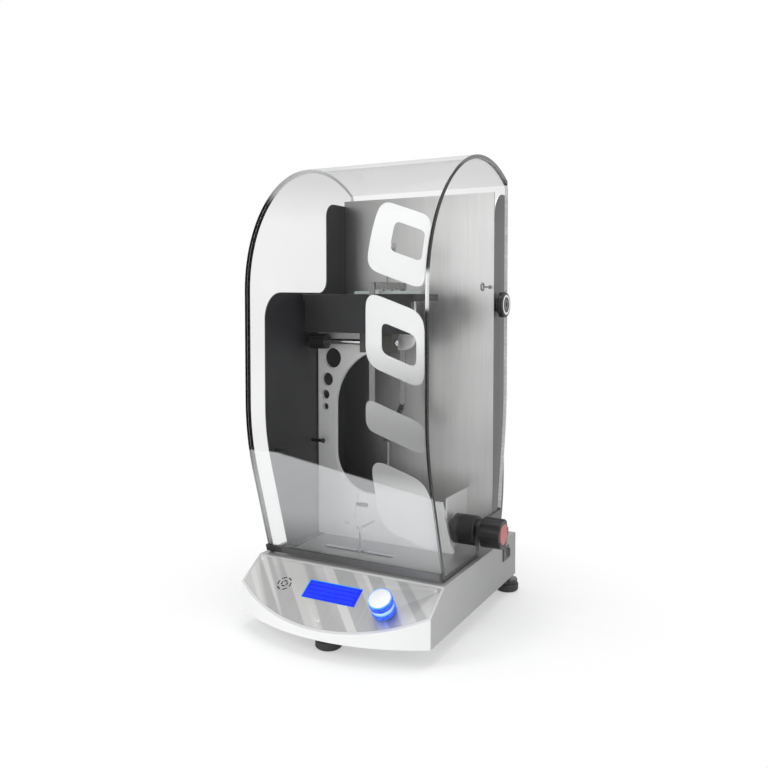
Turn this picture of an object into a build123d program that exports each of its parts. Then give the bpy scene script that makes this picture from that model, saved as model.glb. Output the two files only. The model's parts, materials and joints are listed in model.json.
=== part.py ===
from build123d import *
import math
import os

# Pendulum hardness tester: a base with a sloped control panel, a C-shaped stand with a
# sample table, a swinging pendulum, and a clear hood that tips up about two rear pivots.
# Sizes are in millimetres. X runs to the right, Y to the back, Z up from the bench.
# Y = 0 is the front corners of the base, X = 0 its middle.

# Base housing
base_width = 340
base_depth = 370
front_bulge = 49
base_rise = 76.5
corner_rise = 44.5
panel_run = 50.5
housing_wall = 3
housing_edge_round = 1.5
foot_height = 28
bottom_plate_thickness = 2
bottom_plate_gap = 0.3

# Control panel, let into the sloped face
panel_rim = 4
panel_gap = 0.3
panel_thickness = 1.5
panel_screw_spread = 158
panel_screw_upper = 49
panel_screw_lower = -41
panel_screw_radius = 1.5
panel_screw_head_radius = 2.8
panel_screw_length = 2.6

# Display
lcd_centre_x = -3
lcd_centre_v = 11.5
lcd_width = 96
lcd_height = 34.5
lcd_window_thickness = 1.0
lcd_recess = 0.4
lcd_gap = 0.25
lcd_frame = 5
lcd_module_depth = 9
board_margin = 12
board_thickness = 1.6
board_gap = 4

# Speaker behind two rings of curved slots
speaker_x = -92
speaker_v = 11.5
speaker_radius = 16
speaker_depth = 8
slot_ring_radii = (5.0, 11.5)
slot_ring_counts = (4, 6)
slot_width = 2.2
slot_share = 0.55

# Encoder: a push and turn knob with a glowing skirt
encoder_x = 95.5
encoder_v = -1
encoder_body_side = 13
encoder_body_depth = 7
encoder_bush_radius = 3.5
encoder_bush_proud = 0.3
encoder_shaft_radius = 3.0
encoder_running_gap = 0.05
encoder_knob_radius = 19
encoder_knob_height = 29
encoder_knob_lift = 2.2
encoder_waist = 1.2
encoder_cap_radius = 17
encoder_cap_thickness = 2
encoder_cap_proud = 0.6
encoder_shaft_seat = 12
encoder_bore_depth = 6
encoder_end_gap = 0.3

# Mains switch on the right side and mains inlet at the back
switch_from_rear = 52
switch_y = base_depth - switch_from_rear
switch_z_in_base = 52
switch_length = 30
switch_height = 23
switch_flange = 2
switch_flange_thickness = 1.5
switch_body_depth = 18
rocker_gap = 1
rocker_pin_radius = 1.5
rocker_pin_reach = 1
rocker_side_gap = 0.5
rocker_running_gap = 0.05
rocker_length = 23
rocker_height = 14
rocker_depth = 8
rocker_tilt = 8
inlet_x = -105
inlet_z_in_base = 36
inlet_width = 27
inlet_height = 19.5
inlet_flange_width = 31
inlet_flange_height = 24
inlet_flange_thickness = 2
inlet_body_depth = 24
inlet_cavity_width = 23.5
inlet_cavity_height = 16
inlet_cavity_depth = 17
inlet_corner_cut = 4
inlet_pin_thickness = 2
inlet_pin_width = 4
inlet_pin_length = 14
inlet_pin_spread = 7
inlet_earth_drop = 4
cutout_gap = 0.3

# Power supply on the bottom plate
supply_x = -95
supply_width = 90
supply_depth = 130
supply_inlet_gap = 11
supply_y = base_depth - inlet_body_depth - supply_inlet_gap - supply_depth / 2
supply_height = 34
supply_standoff = 4
supply_post_inset = 8

# Levelling feet
foot_pad_radius = 21
foot_pad_height = 14
foot_pad_step = 3
foot_wheel_radius = 19
foot_wheel_height = 7
foot_wheel_notches = 12
foot_wheel_gap = 0.4
foot_stud_radius = 5
foot_stud_reach = 20
foot_running_gap = 0.1
foot_boss_wall = 4
foot_boss_height = 18
foot_front_y = -4
foot_rear_spread = 158
foot_from_rear = 12
foot_rear_y = base_depth - foot_from_rear

# Hood: bent clear sheet between two clear sides
hood_width = 324
hood_front_y = 3
hood_arc_radius = 225
hood_arc_height = 440
hood_rear_end_y = 337
hood_rear_edge_y = 340
hood_lean = 17
hood_bend_radius = 400
hood_lean_start = 205
hood_lift = 4
hood_sheet = 6
hood_side = 6
hood_lower_corner_round = 6
notch_front_y = 209
notch_rise = 55
notch_rear_y = 312
notch_curve_rise = 150
notch_round = 3.5
front_seal_height = 11
front_seal_thickness = 7
seal_side_height = 3

# Hood pivots
pivot_y = 307
pivot_z_in_base = 495
pivot_pin_radius = 6
pivot_gap = 0.05
hub_radius = 22
hub_outside = 10
hub_inside = 3
hub_bore_wall = 3
pin_head_radius = 10
pin_head_height = 2
pin_socket_radius = 4
pin_socket_depth = 1.2
pivot_thread_radius = 3
nut_across_flats = 10
nut_height = 5

# Rear column: folded sheet with side flanges, swept forward at its foot
column_half_width = 152
column_sheet = 2
column_y = 298
column_flange = 57
column_rise = 614.5
column_bend_rise = 110
column_bend_reach = 20
column_top_round = 6
flange_corner_round = 40
column_foot_tab = 26
column_screw_spread = 115

# Left wind wall
wall_setback = 39
wall_sheet = 2
wall_shelf_rise = 440
wall_tower_front_y = 232
wall_tower_rise = 605
wall_tower_round = 25
wall_shelf_round = 45
wall_inner_round = 25
wall_bend_radius = 300
wall_foot_tab = 14
wall_tab_gap = 1
wall_screw_front_y = 150
wall_screw_rear_y = 245

# C-shaped stand plate
stand_y = 198
stand_thickness = 8
stand_left_x = -148
stand_arm_x = 46
stand_arm_height = 84
stand_arm_round = 20
throat_left_x = -111
throat_floor_rise = 84
throat_upper_round = 105
throat_lower_round = 70
leg_top_x = 98
leg_foot_x = 119
hole_places = ((-118, 322.5), (-129, 283.5), (-133, 255.5), (-133, 233.5))
hole_diameters = (36, 24, 17, 13)
gate_slot_x = -57
gate_slot_rise = 62.5
gate_slot_length = 26
gate_slot_height = 8
lift_window_width = 34
lift_window_height = 52
lift_window_round = 4
bracket_sheet = 3
bracket_x = 105
bracket_rise = 90.5
bracket_tab = 18
bracket_screw_front = 44
bracket_screw_rear = 62

# Pendulum geometry, from the standard test
pendulum_length = 400
tip_rise = 44.5
ball_radius = 2.5
ball_spread = 15
ball_gap = 0.03
pendulum_y = 190
leg_offset = 55
leg_strip = 3
leg_width = 10
crossbar_width = 16
crossbar_height = 12
crossbar_above_ball = 0.8
shoulder_drop = 205
hub_drop = 262
leg_bend_round = 25
hub_block = 14
pointer_radius = 2.5
pointer_cone = 26
pointer_tip_radius = 0.4
weight_rod_radius = 2.5
weight_rod_length = 95
weight_radius = 13
weight_height = 22
weight_rise = 45
weight_grip_groove = 1
weight_gap = 0.05
swing_limit = 12

# Sample table with its glass check plate
table_left_x = -146
table_right_x = 75
table_depth = 100
table_thickness = 12
table_round = 8
skirt_drop = 66
skirt_thickness = 3
glass_length = 100
glass_width = 58
glass_thickness = 5
table_bolt_radius = 2.5
table_bolt_head = 4.5
table_bolt_head_height = 3
table_bolt_spread = 60
table_bolt_reach = 12

# Lifting gear under the table
lift_shaft_y = 168
lift_shaft_drop = 90
lift_shaft_radius = 5
lift_shaft_left_x = -110
lift_shaft_right_x = 29
lift_knob_length = 32
lift_knob_radius = 14
lift_knob_notches = 8
lift_running_gap = 0.05
bearing_width = 20
bearing_depth = 20
bearing_below = 17
bearing_left_x = -28
bearing_right_x = 15
cam_x = -7
cam_width = 8
cam_small_radius = 8.5
lift_travel = 5
lift_turn = 90
cam_follow_gap = 1.2
follower_width = 4
prong_offset = 36
prong_width = 6
prong_depth = 4
prong_clearance = 2.0
prong_slot_gap = 0.4
yoke_height = 8
yoke_drop = 40

# Start hook, its carriage and the screw that moves it
hook_x = -26
hook_y = 138
hook_tube_radius = 2.2
hook_bend_radius = 9
hook_reach_y = 186
hook_tip_below_pointer = 2.5
collar_radius = 6
collar_height = 4
hook_slot_left = -98
hook_slot_right = 38
hook_slot_width = 16
hook_travel_left = 57
hook_travel_right = 45
screw_y = 222
screw_rise = 38.5
screw_radius = 6
screw_gap = 0.05
screw_clearance = 1
screw_lead = 12
screw_left_x = -128
nut_block = 22
nut_block_depth = 20
arm_width = 14
arm_thickness = 4
arm_gap = 3
rear_slot_width = 14
support_width = 10
support_height = 52
support_depth = 26
drive_boss_radius = 25
drive_boss_start_x = 115
drive_boss_length = 40
drive_spigot_radius = 14
drive_boss_round = 3
knob_start_x = 164
knob_length = 36
knob_radius = 25
knob_lobe_count = 6
knob_lobe_radius = 10
knob_lobe_depth = 3.2
knob_neck_radius = 8
knob_neck_gap = 1
knob_end_round = 1.5
knob_cap_radius = 17
knob_cap_thickness = 2.5
knob_cap_recess = 1.5

# Light gate behind the stand slot
gate_width = 30
gate_height = 20
gate_depth = 14
gate_lens_radius = 3
gate_lens_reach = 3

# Pegs for the pendulum that is not in use
peg_radius = 3
peg_head_radius = 4.5
peg_head_length = 2.5
peg_length = 25
peg_rise = 174.5
peg_places_y = (68, 180)
eye_x = 145
eye_rise = 449.5
eye_length = 36
eye_ring_radius = 6
eye_wire_radius = 1.6

# Common fasteners
deck_screw_radius = 2
deck_screw_head_radius = 4
deck_screw_head_height = 2
deck_screw_depth = 4

# Worked out from the sizes above
deck_z = foot_height + base_rise
half_width = base_width / 2
front_radius = (half_width ** 2 + front_bulge ** 2) / (2 * front_bulge)
front_centre_y = front_radius - front_bulge
panel_slope = (base_rise - corner_rise) / panel_run
panel_cos = 1 / math.sqrt(1 + panel_slope ** 2)
panel_length = panel_run / panel_cos
fulcrum_z = deck_z + tip_rise + pendulum_length
glass_top_z = fulcrum_z - ball_radius - ball_gap
table_top_z = glass_top_z - glass_thickness
table_under_z = table_top_z - table_thickness
stand_back_y = stand_y + stand_thickness
screw_z = deck_z + screw_rise
pivot_z = foot_height + pivot_z_in_base
hood_half = hood_width / 2
hood_side_inner = hood_half - hood_side
hood_bottom_z = deck_z + hood_lift
hood_apex_z = deck_z + hood_arc_height + hood_arc_radius
lift_shaft_z = fulcrum_z - lift_shaft_drop
knob_end_x = knob_start_x + knob_length
right_reach = knob_end_x + knob_cap_thickness - knob_cap_recess
left_reach = max(half_width, foot_rear_spread + foot_pad_radius)
rear_reach = max(base_depth + inlet_flange_thickness, foot_rear_y + foot_pad_radius)
front_reach = front_bulge
centre_x = (right_reach - left_reach) / 2
centre_y = (rear_reach - front_reach) / 2
panel_plane = Plane(
    origin=(0, 0, foot_height + corner_rise),
    x_dir=(1, 0, 0),
    z_dir=(0, -panel_slope * panel_cos, panel_cos),
)


def write(name, shape):
    export_step(Pos(-centre_x, -centre_y, 0) * shape, f"parts/{name}.step")


def box(x0, x1, y0, y1, z0, z1):
    middle = Pos((x0 + x1) / 2, (y0 + y1) / 2, (z0 + z1) / 2)
    return middle * Box(x1 - x0, y1 - y0, z1 - z0)


def rod_x(x0, x1, y, z, radius):
    return Pos((x0 + x1) / 2, y, z) * Rot(0, 90, 0) * Cylinder(radius, x1 - x0)


def rod_y(x, y0, y1, z, radius):
    return Pos(x, (y0 + y1) / 2, z) * Rot(90, 0, 0) * Cylinder(radius, y1 - y0)


def rod_z(x, y, z0, z1, radius):
    return Pos(x, y, (z0 + z1) / 2) * Cylinder(radius, z1 - z0)


def side_sheet(face, x0, x1):
    return extrude(Plane.YZ.offset(x0) * face, amount=x1 - x0)


def front_sheet(face, y0, y1):
    return extrude(Plane.XZ.offset(-y1) * face, amount=y1 - y0)


def rounded_face(points, radii):
    return make_face(FilletPolyline(*points, radius=radii, close=True))


def lobed_face(radius, lobes, hollow_radius, hollow_depth):
    face = Circle(radius)
    for i in range(lobes):
        turn = Rot(0, 0, 360 / lobes * i)
        face -= turn * Pos(radius + hollow_radius - hollow_depth, 0) * Circle(hollow_radius)
    return face


# Base housing


def base_outline(inset):
    side = half_width - inset
    arc_radius = front_radius - inset
    corner_y = front_centre_y - math.sqrt(arc_radius ** 2 - side ** 2)
    nose = (0, front_centre_y - arc_radius)
    back = base_depth - inset
    edges = [
        ThreePointArc((-side, corner_y), nose, (side, corner_y)),
        Polyline((side, corner_y), (side, back), (-side, back), (-side, corner_y)),
    ]
    return make_face(edges)


def base_form(inset):
    nose_y = -front_bulge - housing_wall
    drop = inset / panel_cos
    fold_y = panel_run + (drop - inset) / panel_slope
    profile = Polyline(
        (nose_y, foot_height),
        (nose_y, foot_height + corner_rise + panel_slope * nose_y - drop),
        (fold_y, deck_z - inset),
        (base_depth, deck_z - inset),
        (base_depth, foot_height),
        close=True,
    )
    prism = side_sheet(make_face(profile), -half_width, half_width)
    plan = extrude(Plane.XY.offset(foot_height) * base_outline(inset), amount=base_rise)
    return prism & plan


def panel_slab(inset, top, bottom):
    outline = extrude(Plane.XY * base_outline(inset), amount=deck_z)
    upper = panel_length - inset
    lower = -2 * front_bulge
    slab = Pos(0, (upper + lower) / 2, (top + bottom) / 2) * Box(base_width, upper - lower, top - bottom)
    return (panel_plane * slab) & outline


def on_panel(x, v, sketch, bottom, top):
    return panel_plane * Pos(x, v, bottom) * extrude(sketch, amount=top - bottom)


def foot_places():
    return (
        ("front", 0, foot_front_y),
        ("rear_left", -foot_rear_spread, foot_rear_y),
        ("rear_right", foot_rear_spread, foot_rear_y),
    )


def stud_keep_in(x, y):
    # The rear studs stand inside the walls, ahead of and inboard of the pads' middles.
    limit_x = half_width - housing_wall - foot_stud_radius - foot_boss_wall
    limit_y = base_depth - housing_wall - foot_stud_radius - foot_boss_wall
    return (max(-limit_x, min(limit_x, x)), min(limit_y, y))


def base_housing():
    outer = base_form(0)
    deck_edges = outer.edges().filter_by(Axis.Y).group_by(Axis.Z)[-1]
    outer = fillet(deck_edges, housing_edge_round)
    body = outer - base_form(housing_wall)
    body -= panel_slab(panel_rim, housing_wall, -panel_thickness - panel_gap / 3)
    under = -3 * housing_wall
    body -= on_panel(
        lcd_centre_x,
        lcd_centre_v,
        Rectangle(lcd_width + 2 * lcd_frame + 2 * cutout_gap, lcd_height + 2 * lcd_frame + 2 * cutout_gap),
        under,
        housing_wall,
    )
    body -= on_panel(encoder_x, encoder_v, Circle(encoder_body_side), under, housing_wall)
    body -= on_panel(speaker_x, speaker_v, Circle(speaker_radius + cutout_gap), under, housing_wall)
    for x, v in panel_screw_places():
        body -= on_panel(x, v, Circle(panel_screw_radius), under, housing_wall)
    slot_middle = (hook_slot_left + hook_slot_right) / 2
    slot_length = hook_slot_right - hook_slot_left
    for y, width in ((hook_y, hook_slot_width), (screw_y, rear_slot_width)):
        slot = SlotOverall(slot_length, width)
        body -= Pos(slot_middle, y, deck_z - 2 * housing_wall) * extrude(slot, amount=4 * housing_wall)
    switch_z = foot_height + switch_z_in_base
    body -= box(
        half_width - 2 * housing_wall,
        half_width + housing_wall,
        switch_y - switch_length / 2 + switch_flange,
        switch_y + switch_length / 2 - switch_flange,
        switch_z - switch_height / 2 + switch_flange,
        switch_z + switch_height / 2 - switch_flange,
    )
    inlet_z = foot_height + inlet_z_in_base
    body -= box(
        inlet_x - inlet_width / 2 - cutout_gap,
        inlet_x + inlet_width / 2 + cutout_gap,
        base_depth - 2 * housing_wall,
        base_depth + housing_wall,
        inlet_z - inlet_height / 2 - cutout_gap,
        inlet_z + inlet_height / 2 + cutout_gap,
    )
    for x, y in deck_screw_places():
        body -= rod_z(x, y, deck_z - 2 * housing_wall, deck_z + housing_wall, deck_screw_radius)
    return body


def bottom_plate():
    inset = housing_wall + bottom_plate_gap
    plate = extrude(Plane.XY.offset(foot_height) * base_outline(inset), amount=bottom_plate_thickness)
    for _, x, y in foot_places():
        x, y = stud_keep_in(x, y)
        boss = foot_stud_radius + foot_boss_wall
        plate += rod_z(x, y, foot_height, foot_height + foot_boss_height, boss) & base_form(inset)
        hole = foot_stud_radius + foot_running_gap
        plate -= rod_z(x, y, 0, deck_z, hole)
    return plate


# Control panel and what sits behind it


def panel_screw_places():
    return (
        (-panel_screw_spread, panel_screw_upper),
        (panel_screw_spread, panel_screw_upper),
        (0, panel_screw_lower),
    )


def slot_ring(radius, count):
    sweep_angle = 360 / count * slot_share
    arc = CenterArc((0, 0), radius, -sweep_angle / 2, sweep_angle)
    slot = SlotArc(arc, slot_width)
    ring = Sketch()
    for i in range(count):
        ring += Rot(0, 0, 360 / count * i) * slot
    return ring


def control_panel():
    plate = panel_slab(panel_rim + panel_gap, 0, -panel_thickness)
    below = -2 * panel_thickness
    above = panel_thickness
    window = Rectangle(lcd_width, lcd_height)
    plate -= on_panel(lcd_centre_x, lcd_centre_v, window, below, above)
    plate -= on_panel(encoder_x, encoder_v, Circle(encoder_bush_radius + cutout_gap), below, above)
    for radius, count in zip(slot_ring_radii, slot_ring_counts):
        plate -= on_panel(speaker_x, speaker_v, slot_ring(radius, count), below, above)
    for x, v in panel_screw_places():
        plate -= on_panel(x, v, Circle(panel_screw_radius + panel_gap / 3), below, above)
        sink = Cone(panel_screw_radius, panel_screw_head_radius, panel_thickness)
        plate -= panel_plane * Pos(x, v, -panel_thickness / 2) * sink
    return plate


def panel_screws():
    screws = []
    for x, v in panel_screw_places():
        head = Cone(panel_screw_radius, panel_screw_head_radius, panel_thickness)
        screw = Pos(0, 0, -panel_thickness / 2) * head
        shank = Cylinder(panel_screw_radius, panel_screw_length)
        screw += Pos(0, 0, -panel_thickness - panel_screw_length / 2) * shank
        screws.append(panel_plane * Pos(x, v, 0) * screw)
    return Compound(screws)


def lcd_window():
    pane = Rectangle(lcd_width - 2 * lcd_gap, lcd_height - 2 * lcd_gap)
    top = -lcd_recess
    return on_panel(lcd_centre_x, lcd_centre_v, pane, top - lcd_window_thickness, top)


def lcd_module():
    outer = Rectangle(lcd_width + 2 * lcd_frame, lcd_height + 2 * lcd_frame)
    top = -panel_thickness
    body = on_panel(lcd_centre_x, lcd_centre_v, outer, top - lcd_module_depth, top)
    pocket = Rectangle(lcd_width - lcd_frame, lcd_height - lcd_frame)
    body -= on_panel(lcd_centre_x, lcd_centre_v, pocket, top - lcd_frame / 2, top)
    return body


def control_board():
    width = lcd_width + 2 * board_margin
    height = lcd_height + board_margin
    top = -panel_thickness - lcd_module_depth
    return on_panel(lcd_centre_x, lcd_centre_v, Rectangle(width, height), top - board_thickness, top)


def speaker():
    top = -panel_thickness
    magnet_radius = speaker_radius * 0.6
    body = on_panel(speaker_x, speaker_v, Circle(speaker_radius), top - speaker_depth / 2, top)
    magnet = Circle(magnet_radius)
    body += on_panel(speaker_x, speaker_v, magnet, top - speaker_depth, top - speaker_depth / 2)
    cone = Cone(speaker_radius * 0.3, speaker_radius * 0.85, speaker_depth / 3)
    body -= panel_plane * Pos(speaker_x, speaker_v, top - speaker_depth / 6) * cone
    return body


def encoder_body():
    top = -panel_thickness
    side = encoder_body_side
    body = on_panel(encoder_x, encoder_v, Rectangle(side, side), top - encoder_body_depth, top)
    bush = Circle(encoder_bush_radius)
    body += on_panel(encoder_x, encoder_v, bush, top, encoder_bush_proud)
    bore = Circle(encoder_shaft_radius + encoder_running_gap)
    body -= on_panel(encoder_x, encoder_v, bore, top - encoder_bore_depth, panel_thickness)
    return body


def encoder_shaft():
    bottom = -panel_thickness - encoder_body_depth / 2
    top = encoder_knob_lift + encoder_shaft_seat - encoder_end_gap
    return on_panel(encoder_x, encoder_v, Circle(encoder_shaft_radius), bottom, top)


def encoder_ring():
    low = encoder_knob_lift
    high = encoder_knob_height
    waist_z = (low + high) / 2
    bore = encoder_shaft_radius + encoder_running_gap
    outline = Spline(
        (encoder_knob_radius - 0.5, low),
        (encoder_knob_radius - encoder_waist, waist_z),
        (encoder_knob_radius, high),
    )
    rest = Polyline(
        (encoder_knob_radius, high),
        (encoder_cap_radius, high),
        (encoder_cap_radius, high - encoder_cap_thickness),
        (0, high - encoder_cap_thickness),
        (0, low + encoder_shaft_seat),
        (bore, low + encoder_shaft_seat),
        (bore, low),
        (encoder_knob_radius - 0.5, low),
    )
    section = Plane.XZ * make_face([outline, rest])
    return panel_plane * Pos(encoder_x, encoder_v, 0) * revolve(section, Axis.Z)


def encoder_cap():
    low = encoder_knob_height - encoder_cap_thickness
    high = encoder_knob_height + encoder_cap_proud
    section = Polyline(
        (0, low),
        (encoder_cap_radius, low),
        (encoder_cap_radius, encoder_knob_height),
        (encoder_cap_radius - encoder_cap_proud, high),
        (0, high),
        close=True,
    )
    return panel_plane * Pos(encoder_x, encoder_v, 0) * revolve(Plane.XZ * make_face(section), Axis.Z)


# Mains switch, mains inlet and power supply


def switch_bezel():
    z = foot_height + switch_z_in_base
    half_length = switch_length / 2
    half_height = switch_height / 2
    flange = box(
        half_width,
        half_width + switch_flange_thickness,
        switch_y - half_length,
        switch_y + half_length,
        z - half_height,
        z + half_height,
    )
    inner_length = half_length - switch_flange - cutout_gap
    inner_height = half_height - switch_flange - cutout_gap
    body = box(
        half_width - switch_body_depth,
        half_width,
        switch_y - inner_length,
        switch_y + inner_length,
        z - inner_height,
        z + inner_height,
    )
    pocket = box(
        half_width - rocker_depth - 2 * rocker_gap,
        half_width + switch_flange_thickness,
        switch_y - rocker_length / 2 - rocker_gap,
        switch_y + rocker_length / 2 + rocker_gap,
        z - rocker_height / 2 - rocker_side_gap,
        z + rocker_height / 2 + rocker_side_gap,
    )
    socket = rocker_pin(rocker_pin_radius + rocker_running_gap, rocker_pin_reach + rocker_side_gap)
    return flange + body - pocket - socket


def rocker_pin(radius, reach):
    z = foot_height + switch_z_in_base
    half = rocker_height / 2 + reach
    return rod_z(rocker_pivot_x(), switch_y, z - half, z + half, radius)


def rocker_pivot_x():
    return half_width - rocker_depth / 4


def rocker():
    # A shallow V that rocks about its middle, stored with its front half pressed in.
    reach = rocker_length / 2
    tilt = math.tan(math.radians(rocker_tilt))
    front_x = rocker_depth / 4 + switch_flange_thickness
    outline = Polyline(
        (front_x + reach * tilt, -reach),
        (front_x, 0),
        (front_x + reach * tilt, reach),
        (-rocker_depth / 4, reach / 2),
        (-rocker_depth / 4, -reach / 2),
        close=True,
    )
    z = foot_height + switch_z_in_base
    body = extrude(Plane.XY.offset(-rocker_height / 2) * make_face(outline), amount=rocker_height)
    body = Pos(rocker_pivot_x(), switch_y, z) * Rot(0, 0, -rocker_tilt) * body
    return body + rocker_pin(rocker_pin_radius, rocker_pin_reach)


def power_inlet():
    z = foot_height + inlet_z_in_base
    back = base_depth
    flange = box(
        inlet_x - inlet_flange_width / 2,
        inlet_x + inlet_flange_width / 2,
        back,
        back + inlet_flange_thickness,
        z - inlet_flange_height / 2,
        z + inlet_flange_height / 2,
    )
    body = box(
        inlet_x - inlet_width / 2,
        inlet_x + inlet_width / 2,
        back - inlet_body_depth,
        back,
        z - inlet_height / 2,
        z + inlet_height / 2,
    )
    half_cavity = inlet_cavity_width / 2
    half_tall = inlet_cavity_height / 2
    cut = inlet_corner_cut
    mouth = Polyline(
        (inlet_x - half_cavity, z - half_tall),
        (inlet_x + half_cavity, z - half_tall),
        (inlet_x + half_cavity, z + half_tall - cut),
        (inlet_x + half_cavity - cut, z + half_tall),
        (inlet_x - half_cavity + cut, z + half_tall),
        (inlet_x - half_cavity, z + half_tall - cut),
        close=True,
    )
    mouth_y = back + inlet_flange_thickness
    cavity = front_sheet(make_face(mouth), mouth_y - inlet_cavity_depth, mouth_y)
    socket = flange + body - cavity
    floor_y = mouth_y - inlet_cavity_depth
    pins = ((-inlet_pin_spread, 0), (inlet_pin_spread, 0), (0, inlet_earth_drop))
    for dx, dz in pins:
        socket += box(
            inlet_x + dx - inlet_pin_thickness / 2,
            inlet_x + dx + inlet_pin_thickness / 2,
            floor_y - 1,
            floor_y + inlet_pin_length,
            z + dz - inlet_pin_width / 2,
            z + dz + inlet_pin_width / 2,
        )
    return socket


def power_supply():
    low = foot_height + bottom_plate_thickness + supply_standoff
    case = box(
        supply_x - supply_width / 2,
        supply_x + supply_width / 2,
        supply_y - supply_depth / 2,
        supply_y + supply_depth / 2,
        low,
        low + supply_height,
    )
    for sx in (-1, 1):
        for sy in (-1, 1):
            x = supply_x + sx * (supply_width / 2 - supply_post_inset)
            y = supply_y + sy * (supply_depth / 2 - supply_post_inset)
            case += rod_z(x, y, low - supply_standoff, low, supply_standoff)
    return case


# Levelling feet


def foot_pad(x, y):
    low_radius = foot_pad_radius - foot_pad_step
    profile = Polyline(
        (0, 0),
        (low_radius, 0),
        (foot_pad_radius, foot_pad_step),
        (foot_pad_radius, foot_pad_height - foot_pad_step / 2),
        (foot_pad_radius - foot_pad_step / 2, foot_pad_height),
        (0, foot_pad_height),
        close=True,
    )
    pad = revolve(Plane.XZ * make_face(profile), Axis.Z)
    sx, sy = stud_keep_in(x, y)
    socket = foot_stud_radius + foot_running_gap
    return Pos(x, y, 0) * pad - rod_z(sx, sy, foot_pad_height / 2, foot_height, socket)


def foot_screw(x, y):
    sx, sy = stud_keep_in(x, y)
    low = foot_pad_height + foot_wheel_gap
    notch = foot_wheel_radius * math.pi / foot_wheel_notches / 2
    face = lobed_face(foot_wheel_radius, foot_wheel_notches, notch, notch * 0.45)
    wheel = Pos(sx, sy, low) * extrude(face, amount=foot_wheel_height)
    stud_low = foot_pad_height / 2 + foot_wheel_gap
    stud = rod_z(sx, sy, stud_low, foot_height + foot_stud_reach, foot_stud_radius)
    return wheel + stud


# Hood


def lean_foot_y(front_y, bottom_z):
    # Where a leaning front line, that starts up the front, reaches a given height.
    start_z = deck_z + hood_lean_start
    return front_y + (start_z - bottom_z) * math.tan(math.radians(hood_lean))


def hood_outline(inset):
    front = hood_front_y + inset
    radius = hood_arc_radius - inset
    arc_z = deck_z + hood_arc_height
    arc_y = hood_front_y + hood_arc_radius
    rear_z = arc_z + math.sqrt(radius ** 2 - (hood_rear_end_y - arc_y) ** 2)
    lean_line = FilletPolyline(
        (lean_foot_y(front, hood_bottom_z), hood_bottom_z),
        (front, deck_z + hood_lean_start),
        (front, arc_z),
        radius=hood_bend_radius - inset,
    )
    crown = ThreePointArc(
        (front, arc_z),
        (arc_y - radius * math.sin(math.radians(35)), arc_z + radius * math.cos(math.radians(35))),
        (hood_rear_end_y, rear_z),
    )
    return lean_line, crown, rear_z


def hood_arch():
    outer_line, outer_crown, outer_z = hood_outline(0)
    inner_line, inner_crown, inner_z = hood_outline(hood_sheet)
    ends = [
        Line((hood_rear_end_y, outer_z), (hood_rear_end_y, inner_z)),
        Line(
            (lean_foot_y(hood_front_y, hood_bottom_z), hood_bottom_z),
            (lean_foot_y(hood_front_y + hood_sheet, hood_bottom_z), hood_bottom_z),
        ),
    ]
    face = make_face([outer_line, outer_crown, inner_line, inner_crown] + ends)
    return side_sheet(face, -hood_half, hood_half)


def hood_side_face():
    line, crown, rear_z = hood_outline(hood_sheet)
    notch_z = deck_z + notch_rise
    curve_z = deck_z + notch_curve_rise
    foot_y = lean_foot_y(hood_front_y + hood_sheet, hood_bottom_z)
    tail = FilletPolyline(
        (hood_rear_end_y, rear_z),
        (hood_rear_edge_y, rear_z - hood_sheet),
        (hood_rear_edge_y, curve_z + notch_curve_rise / 2),
        (notch_rear_y, notch_z),
        (notch_front_y, notch_z),
        (notch_front_y, hood_bottom_z),
        (foot_y, hood_bottom_z),
        radius=[0, 3 * notch_curve_rise, notch_round, notch_round, hood_lower_corner_round],
    )
    return make_face([line, crown, tail])


def hood_left_side():
    return side_sheet(pierced_side_face(), -hood_half, -hood_half + hood_side)


def hood_right_side():
    return side_sheet(pierced_side_face(), hood_half - hood_side, hood_half)


def pierced_side_face():
    return hood_side_face() - Pos(pivot_y, pivot_z) * Circle(hub_body_radius())


def hub_body_radius():
    return pivot_pin_radius + hub_bore_wall


def hood_front_seal():
    low = hood_bottom_z
    high = low + front_seal_height
    outer = [lean_foot_y(hood_front_y, z) for z in (low, high)]
    strip = Polyline(
        (outer[0] - front_seal_thickness, low),
        (outer[0], low),
        (outer[1], high),
        (outer[1] - front_seal_thickness, high),
        close=True,
    )
    return side_sheet(make_face(strip), -hood_half, hood_half)


def hood_side_seals():
    foot_y = lean_foot_y(hood_front_y, hood_bottom_z)
    strips = []
    for x0 in (-hood_half, hood_half - hood_side):
        rear_y = notch_front_y - hood_lower_corner_round
        top = hood_bottom_z
        strips.append(box(x0, x0 + hood_side, foot_y, rear_y, top - seal_side_height, top))
    return Compound(strips)


def hub_profile():
    bore = pivot_pin_radius + pivot_gap
    outer = hood_half
    inner = hood_side_inner
    chamfer_size = 1.5
    return Polyline(
        (bore, inner - hub_inside),
        (hub_body_radius() + hub_bore_wall, inner - hub_inside),
        (hub_body_radius() + hub_bore_wall, inner),
        (hub_body_radius(), inner),
        (hub_body_radius(), outer),
        (hub_radius, outer),
        (hub_radius, outer + hub_outside - chamfer_size),
        (hub_radius - chamfer_size, outer + hub_outside),
        (pin_head_radius + pivot_gap, outer + hub_outside),
        (pin_head_radius + pivot_gap, outer + hub_outside - pin_head_height - pivot_gap),
        (bore, outer + hub_outside - pin_head_height - pivot_gap),
        close=True,
    )


def about_pivot(profile):
    turned = revolve(Plane.XY * make_face(profile), Axis.Y)
    right = Pos(0, pivot_y, pivot_z) * Rot(0, 0, -90) * turned
    left = mirror(right, about=Plane.YZ)
    return Compound([right, left])


def hood_hubs():
    return about_pivot(hub_profile())


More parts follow.
